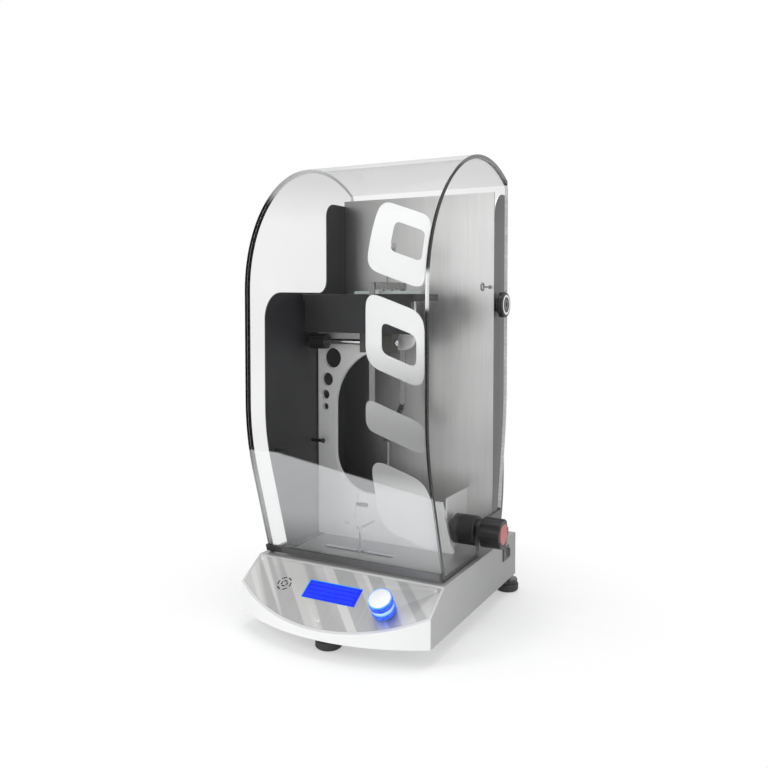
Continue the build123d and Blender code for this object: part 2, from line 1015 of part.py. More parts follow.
def pivot_pins():
    outer = hood_half + hub_outside
    inner = column_half_width - column_sheet
    profile = Polyline(
        (0, inner - nut_height),
        (pivot_thread_radius, inner - nut_height),
        (pivot_thread_radius, column_half_width),
        (pivot_pin_radius, column_half_width),
        (pivot_pin_radius, outer - pin_head_height),
        (pin_head_radius, outer - pin_head_height),
        (pin_head_radius, outer),
        (pin_socket_radius, outer),
        (pin_socket_radius, outer - pin_socket_depth),
        (0, outer - pin_socket_depth),
        close=True,
    )
    return about_pivot(profile)


def pivot_nuts():
    inner = column_half_width - column_sheet
    hexagon = RegularPolygon(nut_across_flats / 2, 6, major_radius=False)
    ring = hexagon - Circle(pivot_thread_radius)
    nut = extrude(Plane.YZ * ring, amount=nut_height)
    right = Pos(inner - nut_height, pivot_y, pivot_z) * nut
    return Compound([right, mirror(right, about=Plane.YZ)])


# Rear column, left wall and stand


def column_face(front_y, rear_y):
    top = deck_z + column_rise
    bend_z = deck_z + column_bend_rise
    reach = column_bend_reach
    bow = (column_bend_rise ** 2 + reach ** 2) / (2 * reach)
    half_angle = math.asin(column_bend_rise / bow) / 2

    def sweep_line(y):
        middle = (y - bow * (1 - math.cos(half_angle)), bend_z - bow * math.sin(half_angle))
        return ThreePointArc((y, bend_z), middle, (y - reach, deck_z))

    crown = FilletPolyline(
        (front_y, bend_z),
        (front_y, top),
        (rear_y, top),
        (rear_y, bend_z),
        radius=[0, column_top_round],
    )
    foot = Line((front_y - reach, deck_z), (rear_y - reach, deck_z))
    return make_face([crown, sweep_line(front_y), sweep_line(rear_y), foot])


def back_plate():
    rear_y = column_y + column_flange
    outer = side_sheet(column_face(column_y, rear_y), -column_half_width, column_half_width)
    inner_half = column_half_width - column_sheet
    far = rear_y + 2 * column_flange
    hollow = side_sheet(column_face(column_y + column_sheet, far), -inner_half, inner_half)
    channel = outer - hollow - flange_corner()
    tab_y = column_y - column_bend_reach
    tab_start = tab_y + column_sheet / 2
    channel += box(-inner_half, inner_half, tab_start, tab_y + column_foot_tab, deck_z, deck_z + column_sheet)
    for x, y in column_screw_places():
        channel -= rod_z(x, y, deck_z - 1, deck_z + 2 * column_sheet, deck_screw_radius + panel_gap)
    for sign in (-1, 1):
        x0 = sign * column_half_width
        channel -= rod_x(x0 - 2 * column_sheet, x0 + 2 * column_sheet, pivot_y, pivot_z, pivot_thread_radius)
    return channel


def flange_corner():
    # What is cut from the flanges' top front corners, behind the front sheet.
    y0 = column_y + column_sheet
    top = deck_z + column_rise
    turn = flange_corner_round
    corner = Pos(y0 + turn / 2, top - turn / 2) * Rectangle(turn, turn)
    corner += Pos(y0 + turn / 2, top + turn / 2) * Rectangle(turn, turn)
    corner -= Pos(y0 + turn, top - turn) * Circle(turn)
    return side_sheet(corner, -2 * column_half_width, 2 * column_half_width)


def column_screw_places():
    y = column_y - column_bend_reach + column_foot_tab / 2 + column_sheet
    return ((-column_screw_spread, y), (0, y), (column_screw_spread, y))


def wall_screw_places():
    x = -column_half_width + wall_sheet + wall_foot_tab / 2
    return ((x, wall_screw_front_y), (x, wall_screw_rear_y))


def bracket_screw_places():
    x = bracket_x - bracket_tab / 2
    return ((x, stand_back_y + bracket_screw_front), (x, stand_back_y + bracket_screw_rear))


def deck_screw_places():
    return column_screw_places() + wall_screw_places() + bracket_screw_places()


def deck_screws():
    screws = []
    seats = [(p, column_sheet) for p in column_screw_places()]
    seats += [(p, wall_sheet) for p in wall_screw_places()]
    seats += [(p, bracket_sheet) for p in bracket_screw_places()]
    for (x, y), seat in seats:
        top = deck_z + seat
        head = rod_z(x, y, top, top + deck_screw_head_height, deck_screw_head_radius)
        head = fillet(head.edges().group_by(Axis.Z)[-1], deck_screw_head_height * 0.4)
        shank = rod_z(x, y, deck_z - deck_screw_depth, top, deck_screw_radius)
        screws.append(head + shank)
    return Compound(screws)


def left_side_wall():
    front = hood_front_y + wall_setback
    shelf_z = deck_z + wall_shelf_rise
    tower_z = deck_z + wall_tower_rise
    corners = [
        (lean_foot_y(front, deck_z), deck_z),
        (front, deck_z + hood_lean_start),
        (front, shelf_z),
        (wall_tower_front_y, shelf_z),
        (wall_tower_front_y, tower_z),
        (column_y, tower_z),
        (column_y, deck_z),
    ]
    radii = [0, wall_bend_radius, wall_shelf_round, wall_inner_round, wall_tower_round, 0, 0]
    sheet = side_sheet(rounded_face(corners, radii), -column_half_width, -column_half_width + wall_sheet)
    inner_x = -column_half_width + wall_sheet
    tab_front = lean_foot_y(front, deck_z)
    tab = box(inner_x, inner_x + wall_foot_tab, tab_front, column_y, deck_z, deck_z + wall_sheet)
    clear = wall_tab_gap
    tab -= box(-base_width, 0, stand_y - clear, stand_back_y + clear, deck_z - 1, deck_z + 2 * wall_sheet)
    wall = sheet + tab
    wall -= side_sheet(column_face(column_y, column_y + column_flange), -base_width, base_width)
    for x, y in wall_screw_places():
        wall -= rod_z(x, y, deck_z - 1, deck_z + 2 * wall_sheet, deck_screw_radius + panel_gap)
    for y in peg_places_y:
        wall -= rod_x(-base_width, 0, y, deck_z + peg_rise, peg_radius / 2)
    return wall


def stand_plate():
    arm_z = table_under_z - stand_arm_height
    floor_z = deck_z + throat_floor_rise
    corners = [
        (stand_left_x, deck_z),
        (stand_left_x, table_under_z),
        (stand_arm_x, table_under_z),
        (stand_arm_x, arm_z),
        (throat_left_x, arm_z),
        (throat_left_x, floor_z),
        (leg_top_x, floor_z),
        (leg_foot_x, deck_z),
    ]
    radii = [0, 0, 0, stand_arm_round, throat_upper_round, throat_lower_round, 2, 0]
    face = rounded_face(corners, radii)
    for (x, rise), diameter in zip(hole_places, hole_diameters):
        face -= Pos(x, deck_z + rise) * Circle(diameter / 2)
    face -= Pos(gate_slot_x, deck_z + gate_slot_rise) * SlotOverall(gate_slot_length, gate_slot_height)
    window_z = yoke_z() + yoke_height / 2
    face -= Pos(0, window_z) * RectangleRounded(lift_window_width, lift_window_height, lift_window_round)
    plate = front_sheet(face, stand_y, stand_back_y)
    for x, y in table_bolt_places():
        plate -= rod_z(x, y, table_under_z - table_bolt_reach, table_under_z + 1, table_bolt_radius)
    return plate


def stand_bracket():
    top = deck_z + bracket_rise
    web = box(bracket_x - bracket_sheet, bracket_x, stand_back_y, column_y, deck_z, top)
    tab = box(bracket_x - bracket_tab, bracket_x, stand_back_y, column_y, deck_z, deck_z + bracket_sheet)
    bracket = web + tab
    bracket -= side_sheet(column_face(column_y, column_y + column_flange), -base_width, base_width)
    bracket -= rod_x(bracket_x - 2 * bracket_sheet, bracket_x + 1, screw_y, screw_z, screw_radius + screw_clearance)
    for x, y in bracket_screw_places():
        bracket -= rod_z(x, y, deck_z - 1, deck_z + 2 * bracket_sheet, deck_screw_radius + panel_gap)
    return bracket


# Sample table and lifting gear


def table_bolt_places():
    y = stand_y + stand_thickness / 2
    return ((-table_bolt_spread, y), (-table_bolt_spread / 2, y), (stand_arm_x - 10, y))


def prong_slot_spots():
    return (pendulum_y - prong_offset, pendulum_y + prong_offset)


def sample_table():
    front = pendulum_y - table_depth / 2
    middle_x = (table_left_x + table_right_x) / 2
    width = table_right_x - table_left_x
    top = extrude(
        Pos(middle_x, pendulum_y, table_under_z) * RectangleRounded(width, table_depth, table_round),
        amount=table_thickness,
    )
    top = fillet(top.edges().group_by(Axis.Z)[-1], 1)
    left = table_left_x + table_round
    right = table_right_x - table_round
    skirt = box(left, right, front, front + skirt_thickness, table_top_z - skirt_drop, table_under_z)
    table = top + skirt
    slot_x = prong_width + 2 * prong_slot_gap
    slot_y = prong_depth + 2 * prong_slot_gap
    for y in prong_slot_spots():
        table -= Pos(0, y, table_top_z) * Box(slot_x, slot_y, 4 * table_thickness)
    for x, y in table_bolt_places():
        table -= rod_z(x, y, table_under_z - 1, table_top_z + 1, table_bolt_radius + panel_gap)
        sunk = table_top_z - table_bolt_head_height
        table -= rod_z(x, y, sunk, table_top_z + 1, table_bolt_head + panel_gap)
    return table


def table_bolts():
    bolts = []
    for x, y in table_bolt_places():
        top = table_top_z - panel_gap
        seat = table_top_z - table_bolt_head_height
        bolt = rod_z(x, y, seat, top, table_bolt_head)
        bolt -= Pos(x, y, top) * Pos(0, 0, -1) * extrude(RegularPolygon(2, 6), amount=2)
        bolt += rod_z(x, y, table_under_z - 10, seat, table_bolt_radius)
        bolts.append(bolt)
    return Compound(bolts)


def glass_check_plate():
    return box(
        -glass_length / 2,
        glass_length / 2,
        pendulum_y - glass_width / 2,
        pendulum_y + glass_width / 2,
        table_top_z,
        table_top_z + glass_thickness,
    )


def lift_bearings():
    blocks = []
    for x in (bearing_left_x, bearing_right_x):
        block = box(
            x - bearing_width / 2,
            x + bearing_width / 2,
            lift_shaft_y - bearing_depth / 2,
            lift_shaft_y + bearing_depth / 2,
            lift_shaft_z - bearing_below,
            table_under_z,
        )
        bore = lift_shaft_radius + lift_running_gap
        blocks.append(block - rod_x(x - bearing_width, x + bearing_width, lift_shaft_y, lift_shaft_z, bore))
    return Compound(blocks)


def lift_shaft():
    return rod_x(lift_shaft_left_x, lift_shaft_right_x, lift_shaft_y, lift_shaft_z, lift_shaft_radius)


def lift_knob():
    notch = lift_knob_radius * 0.5
    face = lobed_face(lift_knob_radius, lift_knob_notches, notch, notch * 0.18)
    start = lift_shaft_left_x - lift_knob_length
    knob = extrude(face, amount=lift_knob_length)
    knob = fillet(knob.edges().group_by(Axis.Z)[0], 1)
    return Pos(start, lift_shaft_y, lift_shaft_z) * Rot(0, 90, 0) * knob


def cam_radius(turn):
    return cam_small_radius + lift_travel * turn / lift_turn


def lift_cam():
    # A spiral cam: its radius under the follower grows evenly with the turn of the shaft.
    steps = 6
    rise = []
    for i in range(steps + 1):
        turn = (lift_turn + 12) * i / steps - 6
        r = cam_radius(turn)
        rise.append((r * math.sin(math.radians(turn)), r * math.cos(math.radians(turn))))
    back = cam_radius(lift_turn / 2)
    ramp = Spline(*rise)
    close = ThreePointArc(
        rise[-1],
        (-back * math.sin(math.radians(45)), -back * math.cos(math.radians(45))),
        rise[0],
    )
    face = make_face([ramp, close]) - Circle(lift_shaft_radius)
    cam = extrude(Plane.YZ * face, amount=cam_width)
    return Pos(cam_x - cam_width / 2, lift_shaft_y, lift_shaft_z) * cam


def yoke_z():
    return table_under_z - yoke_drop


def lift_stirrup():
    low_y, high_y = prong_slot_spots()
    half = prong_width / 2
    yoke_low = yoke_z()
    yoke = box(
        -half,
        half,
        low_y - prong_depth / 2,
        high_y + prong_depth / 2,
        yoke_low,
        yoke_low + yoke_height,
    )
    top = fulcrum_z + crossbar_above_ball - prong_clearance
    stirrup = yoke
    for y in (low_y, high_y):
        stirrup += box(-half, half, y - prong_depth / 2, y + prong_depth / 2, yoke_low, top)
    follower_low = lift_shaft_z + cam_small_radius + cam_follow_gap
    foot = follower_width / 2
    stirrup += box(cam_x - cam_width / 2, half, lift_shaft_y - foot, lift_shaft_y + foot, follower_low, yoke_low + 1)
    return stirrup


# Pendulum


def pendulum_frame():
    front = pendulum_y - leg_offset - leg_strip
    back = pendulum_y + leg_offset + leg_strip
    top = fulcrum_z + crossbar_above_ball + crossbar_height
    shoulder = fulcrum_z - shoulder_drop
    hub = fulcrum_z - hub_drop
    corners = [
        (front, top),
        (front, shoulder),
        (pendulum_y - hub_block / 2, hub),
        (pendulum_y + hub_block / 2, hub),
        (back, shoulder),
        (back, top),
    ]
    outer = rounded_face(corners, [0, leg_bend_round, leg_strip, leg_strip, leg_bend_round, 0])
    slope = math.atan2(leg_offset + leg_strip - hub_block / 2, hub_drop - shoulder_drop)
    drop = leg_strip * math.tan(slope / 2)
    rise = leg_strip / math.sin(slope)
    inner_corners = [
        (front + leg_strip, top + 1),
        (front + leg_strip, shoulder + drop),
        (pendulum_y, hub + (hub_block / 2) / math.tan(slope) + rise),
        (back - leg_strip, shoulder + drop),
        (back - leg_strip, top + 1),
    ]
    inner = rounded_face(inner_corners, [0, leg_bend_round - leg_strip, hub_block, leg_bend_round - leg_strip, 0])
    frame = side_sheet(outer - inner, -leg_width / 2, leg_width / 2)
    return frame - rod_z(0, pendulum_y, hub - 1, hub + hub_block / 2, pointer_radius)


def pendulum_crossbar():
    low = fulcrum_z + crossbar_above_ball
    bar = box(
        -crossbar_width / 2,
        crossbar_width / 2,
        pendulum_y - leg_offset,
        pendulum_y + leg_offset,
        low,
        low + crossbar_height,
    )
    for sign in (-1, 1):
        bar -= Pos(0, pendulum_y + sign * ball_spread, fulcrum_z) * Sphere(ball_radius)
    bar -= rod_z(0, pendulum_y, low + crossbar_height / 2, low + crossbar_height + 1, weight_rod_radius)
    return bar


def pendulum_balls():
    balls = [Pos(0, pendulum_y + s * ball_spread, fulcrum_z) * Sphere(ball_radius) for s in (-1, 1)]
    return Compound(balls)


def pendulum_pointer():
    hub = fulcrum_z - hub_drop
    tip = fulcrum_z - pendulum_length
    profile = Polyline(
        (0, tip),
        (pointer_tip_radius, tip),
        (pointer_radius, tip + pointer_cone),
        (pointer_radius, hub + hub_block / 2),
        (0, hub + hub_block / 2),
        close=True,
    )
    return Pos(0, pendulum_y, 0) * revolve(Plane.XZ * make_face(profile), Axis.Z)


def counterweight_rod():
    low = fulcrum_z + crossbar_above_ball + crossbar_height / 2
    return rod_z(0, pendulum_y, low, low + weight_rod_length, weight_rod_radius)


def counterweight():
    low = fulcrum_z + crossbar_above_ball + crossbar_height + weight_rise
    high = low + weight_height
    groove = weight_grip_groove
    bore = weight_rod_radius + weight_gap
    middle = (low + high) / 2
    profile = Polyline(
        (bore, low),
        (weight_radius - groove, low),
        (weight_radius, low + groove),
        (weight_radius, middle - groove),
        (weight_radius - groove, middle),
        (weight_radius, middle + groove),
        (weight_radius, high - groove),
        (weight_radius - groove, high),
        (bore, high),
        close=True,
    )
    return Pos(0, pendulum_y, 0) * revolve(Plane.XZ * make_face(profile), Axis.Z)


# Start hook and its screw drive


def start_hook():
    tip_z = deck_z + tip_rise - hook_tip_below_pointer - hook_tube_radius
    start = deck_z + collar_height / 2
    path = FilletPolyline(
        (hook_x, hook_y, start),
        (hook_x, hook_y, tip_z),
        (hook_x, hook_reach_y, tip_z),
        radius=hook_bend_radius,
    )
    section = Plane(origin=(hook_x, hook_y, start), z_dir=(0, 0, 1)) * Circle(hook_tube_radius)
    hook = sweep(section, path=path)
    collar = rod_z(hook_x, hook_y, deck_z + 0.4, deck_z + 0.4 + collar_height, collar_radius)
    return hook + collar


def hook_carriage():
    under = deck_z - housing_wall - arm_gap
    half = arm_width / 2
    arm = box(hook_x - half, hook_x + half, hook_y - half, screw_y + half, under - arm_thickness, under)
    neck = arm_thickness / 2
    riser = box(hook_x - half, hook_x + half, screw_y - neck, screw_y + neck, under - 1, screw_z)
    block_half = nut_block / 2
    block = box(
        hook_x - block_half,
        hook_x + block_half,
        screw_y - nut_block_depth / 2,
        screw_y + nut_block_depth / 2,
        screw_z - block_half,
        screw_z + block_half,
    )
    post = rod_z(hook_x, hook_y, under - 1, deck_z + 0.4, collar_radius - 1)
    body = arm + riser + block + post
    bore = screw_radius + screw_gap
    return body - rod_x(hook_x - nut_block, hook_x + nut_block, screw_y, screw_z, bore)


def drive_screw():
    return rod_x(screw_left_x, knob_start_x + knob_length / 2, screw_y, screw_z, screw_radius)


def screw_support():
    x0 = screw_left_x
    block = box(
        x0,
        x0 + support_width,
        screw_y - support_depth / 2,
        screw_y + support_depth / 2,
        deck_z,
        deck_z + support_height,
    )
    bore = screw_radius + screw_gap
    return block - rod_x(x0 - 1, x0 + support_width + 1, screw_y, screw_z, bore)


def drive_boss_end_x():
    return drive_boss_start_x + drive_boss_length


def drive_bearing():
    boss = Rot(0, 90, 0) * Cylinder(drive_boss_radius, drive_boss_length)
    boss = fillet(boss.edges().group_by(Axis.X)[-1], drive_boss_round)
    boss = Pos(drive_boss_start_x + drive_boss_length / 2, screw_y, screw_z) * boss
    boss += rod_x(bracket_x, drive_boss_start_x + 1, screw_y, screw_z, drive_spigot_radius)
    bore = screw_radius + screw_gap
    return boss - rod_x(bracket_x - 1, knob_start_x, screw_y, screw_z, bore)


def lobed_knob():
    face = lobed_face(knob_radius, knob_lobe_count, knob_lobe_radius, knob_lobe_depth)
    grip = extrude(face, amount=knob_length)
    ends = grip.edges().group_by(Axis.Z)
    grip = fillet(ends[0] + ends[-1], knob_end_round)
    grip = Pos(knob_start_x, screw_y, screw_z) * Rot(0, 90, 0) * grip
    neck_start = drive_boss_end_x() + knob_neck_gap
    knob = grip + rod_x(neck_start, knob_start_x + 1, screw_y, screw_z, knob_neck_radius)
    seat = knob_cap_radius
    knob -= rod_x(knob_end_x - knob_cap_recess, knob_end_x + 1, screw_y, screw_z, seat)
    return knob - rod_x(0, knob_start_x + knob_length / 2, screw_y, screw_z, screw_radius)


def knob_cap():
    start = knob_end_x - knob_cap_recess
    cap = Cylinder(knob_cap_radius - 0.1, knob_cap_thickness)
    cap = fillet(cap.edges().group_by(Axis.Z)[-1], 0.8)
    return Pos(start + knob_cap_thickness / 2, screw_y, screw_z) * Rot(0, 90, 0) * cap


# Light gate, pegs and eye


def light_gate():
    z = deck_z + gate_slot_rise
    body = box(
        gate_slot_x - gate_width / 2,
        gate_slot_x + gate_width / 2,
        stand_back_y,
        stand_back_y + gate_depth,
        z - gate_height / 2,
        z + gate_height / 2,
    )
    for side in (-1, 1):
        x = gate_slot_x + side * gate_slot_length / 4
        body += rod_y(x, stand_back_y - gate_lens_reach, stand_back_y + 1, z, gate_lens_radius)
    return body


def pendulum_pegs():
    pegs = []
    z = deck_z + peg_rise
    wall_x = -column_half_width
    face_x = wall_x + wall_sheet
    for y in peg_places_y:
        peg = rod_x(wall_x, face_x, y, z, peg_radius / 2)
        peg += rod_x(face_x, face_x + peg_length, y, z, peg_radius)
        peg += rod_x(face_x + peg_length - peg_head_length, face_x + peg_length, y, z, peg_head_radius)
        pegs.append(peg)
    return Compound(pegs)


def hanger_eye():
    z = deck_z + eye_rise
    ring_y = column_y - eye_length
    ring = Pos(eye_x, ring_y, z) * Rot(0, 90, 0) * Torus(eye_ring_radius, eye_wire_radius)
    shank = rod_y(eye_x, ring_y + eye_ring_radius, column_y, z, eye_wire_radius)
    flange = rod_y(eye_x, column_y - 2, column_y, z, 2 * eye_wire_radius)
    return ring + shank + flange


makers = {
    "base_housing": base_housing,
    "bottom_plate": bottom_plate,
    "control_panel": control_panel,
    "panel_screws": panel_screws,
    "lcd_window": lcd_window,
    "lcd_module": lcd_module,
    "control_board": control_board,
    "speaker": speaker,
    "encoder_body": encoder_body,
    "encoder_shaft": encoder_shaft,
    "encoder_ring": encoder_ring,
    "encoder_cap": encoder_cap,
    "switch_bezel": switch_bezel,
    "rocker": rocker,
    "power_inlet": power_inlet,
    "power_supply": power_supply,
    "hood_arch": hood_arch,
    "hood_left_side": hood_left_side,
    "hood_right_side": hood_right_side,
    "hood_front_seal": hood_front_seal,
    "hood_side_seals": hood_side_seals,
    "hood_hubs": hood_hubs,
    "pivot_pins": pivot_pins,
    "pivot_nuts": pivot_nuts,
    "back_plate": back_plate,
    "deck_screws": deck_screws,
    "left_side_wall": left_side_wall,
    "stand_plate": stand_plate,
    "stand_bracket": stand_bracket,
    "sample_table": sample_table,
    "table_bolts": table_bolts,
    "glass_check_plate": glass_check_plate,
    "lift_bearings": lift_bearings,
    "lift_shaft": lift_shaft,
    "lift_knob": lift_knob,
    "lift_cam": lift_cam,
    "lift_stirrup": lift_stirrup,
    "pendulum_frame": pendulum_frame,
    "pendulum_crossbar": pendulum_crossbar,
    "pendulum_balls": pendulum_balls,
    "pendulum_pointer": pendulum_pointer,
    "counterweight_rod": counterweight_rod,
    "counterweight": counterweight,
    "start_hook": start_hook,
    "hook_carriage": hook_carriage,
    "drive_screw": drive_screw,
    "screw_support": screw_support,
    "drive_bearing": drive_bearing,
    "lobed_knob": lobed_knob,
    "knob_cap": knob_cap,
    "light_gate": light_gate,
    "pendulum_pegs": pendulum_pegs,
    "hanger_eye": hanger_eye,
}

os.makedirs("parts", exist_ok=True)
for name, maker in makers.items():
    write(name, maker())
for place, x, y in foot_places():
    write(f"foot_{place}_pad", foot_pad(x, y))
    write(f"foot_{place}_screw", foot_screw(x, y))
print(f"centre_x {centre_x} centre_y {centre_y} height {hood_apex_z}")
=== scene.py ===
import bpy
import bmesh
import json
import math
from mathutils import Matrix, Vector


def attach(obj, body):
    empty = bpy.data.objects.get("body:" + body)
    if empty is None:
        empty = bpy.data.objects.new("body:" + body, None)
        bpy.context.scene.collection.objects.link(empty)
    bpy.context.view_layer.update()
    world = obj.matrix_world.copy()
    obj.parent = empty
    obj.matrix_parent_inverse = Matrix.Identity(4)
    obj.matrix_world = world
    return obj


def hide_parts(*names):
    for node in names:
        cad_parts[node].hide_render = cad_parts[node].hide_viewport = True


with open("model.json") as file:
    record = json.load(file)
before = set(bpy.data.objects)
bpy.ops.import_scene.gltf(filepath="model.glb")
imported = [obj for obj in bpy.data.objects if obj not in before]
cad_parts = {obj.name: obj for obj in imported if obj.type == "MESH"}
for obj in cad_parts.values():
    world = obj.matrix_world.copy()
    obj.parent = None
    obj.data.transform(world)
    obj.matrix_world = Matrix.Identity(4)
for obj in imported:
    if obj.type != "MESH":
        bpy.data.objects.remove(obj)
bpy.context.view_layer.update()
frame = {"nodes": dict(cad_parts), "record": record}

# Base housing: one steel case with a bulging front lip, folded, welded and coated in satin grey.
# Its faces show a fine grain, the lip is painted palest as painted light, and everything bolts to its
# deck.
housing_colour = (0.60, 0.60, 0.60)
lip_painted_light_colour = (0.74, 0.74, 0.735)
housing_edge = 0.0011
seam_gap = 2e-6
flat_angle = math.radians(0.6)
crease_angle = math.radians(35)


def at(x, y, z):
    # Millimetres from the housing's front corners and the bench, as metres in the frame.
    return Vector(((x - 11) / 1000, (y - 165) / 1000, z / 1000))


def grey(level):
    return (level, level, level)


def put_in_scene(mesh, name):
    piece = bpy.data.objects.new(name, mesh)
    bpy.context.scene.collection.objects.link(piece)
    return piece


def shade(mesh, angle=crease_angle):
    for face in mesh.polygons:
        face.use_smooth = True
    mesh.set_sharp_from_angle(angle=angle)


def body_of_node(node):
    for body, members in frame["record"]["behaviour"]["bodies"].items():
        if node in members:
            return body


def machined(node, name, finish, edge=0.0004, sections=2):
    # The node's own shape with its seams closed and its sharp edges eased.
    mesh = frame["nodes"][node].data.copy()
    mesh.name = name
    mesh.materials.clear()
    solid = bmesh.new()
    solid.from_mesh(mesh)
    bmesh.ops.remove_doubles(solid, verts=solid.verts, dist=seam_gap)
    bmesh.ops.dissolve_limit(solid, angle_limit=flat_angle, verts=solid.verts, edges=solid.edges)
    solid.to_mesh(mesh)
    solid.free()
    shade(mesh)
    mesh.materials.append(finish)
    piece = put_in_scene(mesh, name)
    if edge:
        ease = piece.modifiers.new("eased edges", "BEVEL")
        ease.width = edge
        ease.segments = sections
        ease.limit_method = "ANGLE"
        ease.angle_limit = crease_angle
        ease.harden_normals = True
    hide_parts(node)
    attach(piece, body_of_node(node))
    return piece


def feed(node, inputs):
    # Another node's output is linked. A plain number or colour is kept on the input itself.
    for name, value in inputs.items():
        socket = node.inputs[name]
        if isinstance(value, bpy.types.NodeSocket):
            node.id_data.links.new(value, socket)
        elif socket.type == "RGBA":
            socket.default_value = (*value, 1)
        else:
            socket.default_value = value


def new_node(tree, kind, inputs=None, **settings):
    node = tree.nodes.new(kind)
    for setting, value in settings.items():
        setattr(node, setting, value)
    feed(node, inputs or {})
    return node


def blank_finish(name):
    finish = bpy.data.materials.new(name)
    finish.use_nodes = True
    tree = finish.node_tree
    return finish, tree, tree.nodes["Principled BSDF"]


def noise_value(tree, scale, stretch=(1, 1, 1), detail=3.0):
    where = new_node(tree, "ShaderNodeTexCoord").outputs["Object"]
    lay = new_node(tree, "ShaderNodeMapping", {"Vector": where, "Scale": stretch})
    grain = {"Vector": lay.outputs["Vector"], "Scale": scale, "Detail": detail}
    return new_node(tree, "ShaderNodeTexNoise", grain).outputs["Fac"]


def spread(tree, value, low=0, high=1, start=0.3, stop=0.7):
    # Stretches the part of a value between start and stop over low to high.
    ends = {"From Min": start, "From Max": stop, "To Min": low, "To Max": high, "Value": value}
    return new_node(tree, "ShaderNodeMapRange", ends).outputs["Result"]


def blend_colours(tree, share, first, second):
    sides = {0: share, 6: first, 7: second}
    return new_node(tree, "ShaderNodeMix", sides, data_type="RGBA").outputs[2]


def dent(tree, shader, value, depth, strength=0.5):
    bump = new_node(tree, "ShaderNodeBump", {"Strength": strength, "Distance": depth, "Height": value})
    feed(shader, {"Normal": bump.outputs["Normal"]})


def place_value(tree, axis):
    where = new_node(tree, "ShaderNodeTexCoord").outputs["Object"]
    return new_node(tree, "ShaderNodeSeparateXYZ", {"Vector": where}).outputs[axis]


def facing_value(tree, axis):
    where = new_node(tree, "ShaderNodeNewGeometry").outputs["Normal"]
    return new_node(tree, "ShaderNodeSeparateXYZ", {"Vector": where}).outputs[axis]


def satin_coat():
    # Painted light and shade by facing: the sides are painted darker toward the rear, the deck darker
    # still and more metallic, and the lip pale.
    finish, tree, shader = blank_finish("satin grey coat")
    grain = noise_value(tree, 1.0, (900, 260, 900), 4)
    cloud = noise_value(tree, 9.0, detail=2)
    fine = spread(tree, grain)
    side = blend_colours(tree, fine, grey(0.36), (0.45, 0.45, 0.445))
    # Painted shade: the sides darken toward the rear.
    painted_shade_toward_rear = spread(tree, place_value(tree, "Y"), 0, 1, -0.16, 0.2)
    side = blend_colours(tree, painted_shade_toward_rear, side, grey(0.24))
    deck = blend_colours(tree, fine, grey(0.26), (0.36, 0.36, 0.355))
    # Painted light and shade by facing: the deck facing up is painted darker, the lip facing forward
    # pale.
    up = spread(tree, facing_value(tree, "Z"), 0, 1, 0.93, 0.99)
    front = spread(tree, facing_value(tree, "Y"), 1, 0, -0.75, -0.35)
    whole = blend_colours(tree, front, blend_colours(tree, up, side, deck), lip_painted_light_colour)
    feed(shader, {
        "Base Color": blend_colours(tree, spread(tree, cloud, 0, 0.12), whole, housing_colour),
        "Roughness": spread(tree, grain, 0.30, 0.42),
        "Metallic": spread(tree, up, 0.15, 0.6, 0, 1),
    })
    dent(tree, shader, grain, 0.00002, 0.25)
    return finish


machined("base_housing", "housing_case", satin_coat(), housing_edge)

# Bottom plate: a plain galvanised sheet closing the case from below, with welded bosses for the
# feet. It is fixed from underneath with small screws.


def brushed_sheet(name, dark, light, stretch, rough=(0.28, 0.42), metal=0.75, bump=0.00001):
    finish, tree, shader = blank_finish(name)
    hair = noise_value(tree, 1.0, stretch, 5)
    cloud = noise_value(tree, 6.0, detail=2)
    middle = tuple((a + b) / 2 for a, b in zip(dark, light))
    tone = blend_colours(tree, spread(tree, hair), dark, light)
    feed(shader, {
        "Base Color": blend_colours(tree, spread(tree, cloud, 0, 0.4), tone, middle),
        "Roughness": spread(tree, hair, *rough),
        "Metallic": metal,
    })
    dent(tree, shader, hair, bump, 0.3)
    return finish


galvanised = brushed_sheet(
    "galvanised sheet", (0.42, 0.43, 0.44), (0.60, 0.61, 0.62), (60, 60, 60), (0.4, 0.6), 0.8
)
machined("bottom_plate", "housing_underside", galvanised, 0.0003)

# Levelling feet: black rubber pads on threaded studs painted dark as painted shade, each with a moulded
# wheel to turn, red at the front and painted near black at the rear as painted shade. Raised finger
# ribs stand round the wheel's rim.
foot_places = {"front": (0, -4), "rear_left": (-158, 358), "rear_right": (158, 358)}
foot_wheel_low = 14.4
foot_wheel_high = 21.4
foot_wheel_radius = 0.0188
foot_stud_reach = 0.0053
finger_rib_radius = 0.0011
finger_rib_margin = 1.2


def moulded(name, colour, rough=0.42, grain=900, depth=0.00003, second=None):
    finish, tree, shader = blank_finish(name)
    pores = noise_value(tree, grain, detail=3)
    wear = noise_value(tree, 35, detail=4)
    paler = second or tuple(min(1, c * 1.35 + 0.012) for c in colour)
    feed(shader, {
        "Base Color": blend_colours(tree, spread(tree, wear, 0, 0.7, 0.35, 0.75), colour, paler),
        "Roughness": spread(tree, pores, rough - 0.06, rough + 0.08),
    })
    dent(tree, shader, pores, depth, 0.35)
    return finish


def turned_metal(name, dark, light, rough=0.22, rings=1400, metal=1.0):
    finish, tree, shader = blank_finish(name)
    cuts = noise_value(tree, rings, detail=2)
    smear = noise_value(tree, 40, detail=3)
    feed(shader, {
        "Base Color": blend_colours(tree, spread(tree, cuts), dark, light),
        "Roughness": spread(tree, smear, rough - 0.06, rough + 0.08),
        "Metallic": metal,
    })
    dent(tree, shader, cuts, 0.000008, 0.25)
    return finish


def paint_where(piece, finish, wanted):
    # Gives the finish to the faces whose middle and normal pass the test.
    piece.data.materials.append(finish)
    index = len(piece.data.materials) - 1
    for face in piece.data.polygons:
        if wanted(face.center, face.normal):
            face.material_index = index


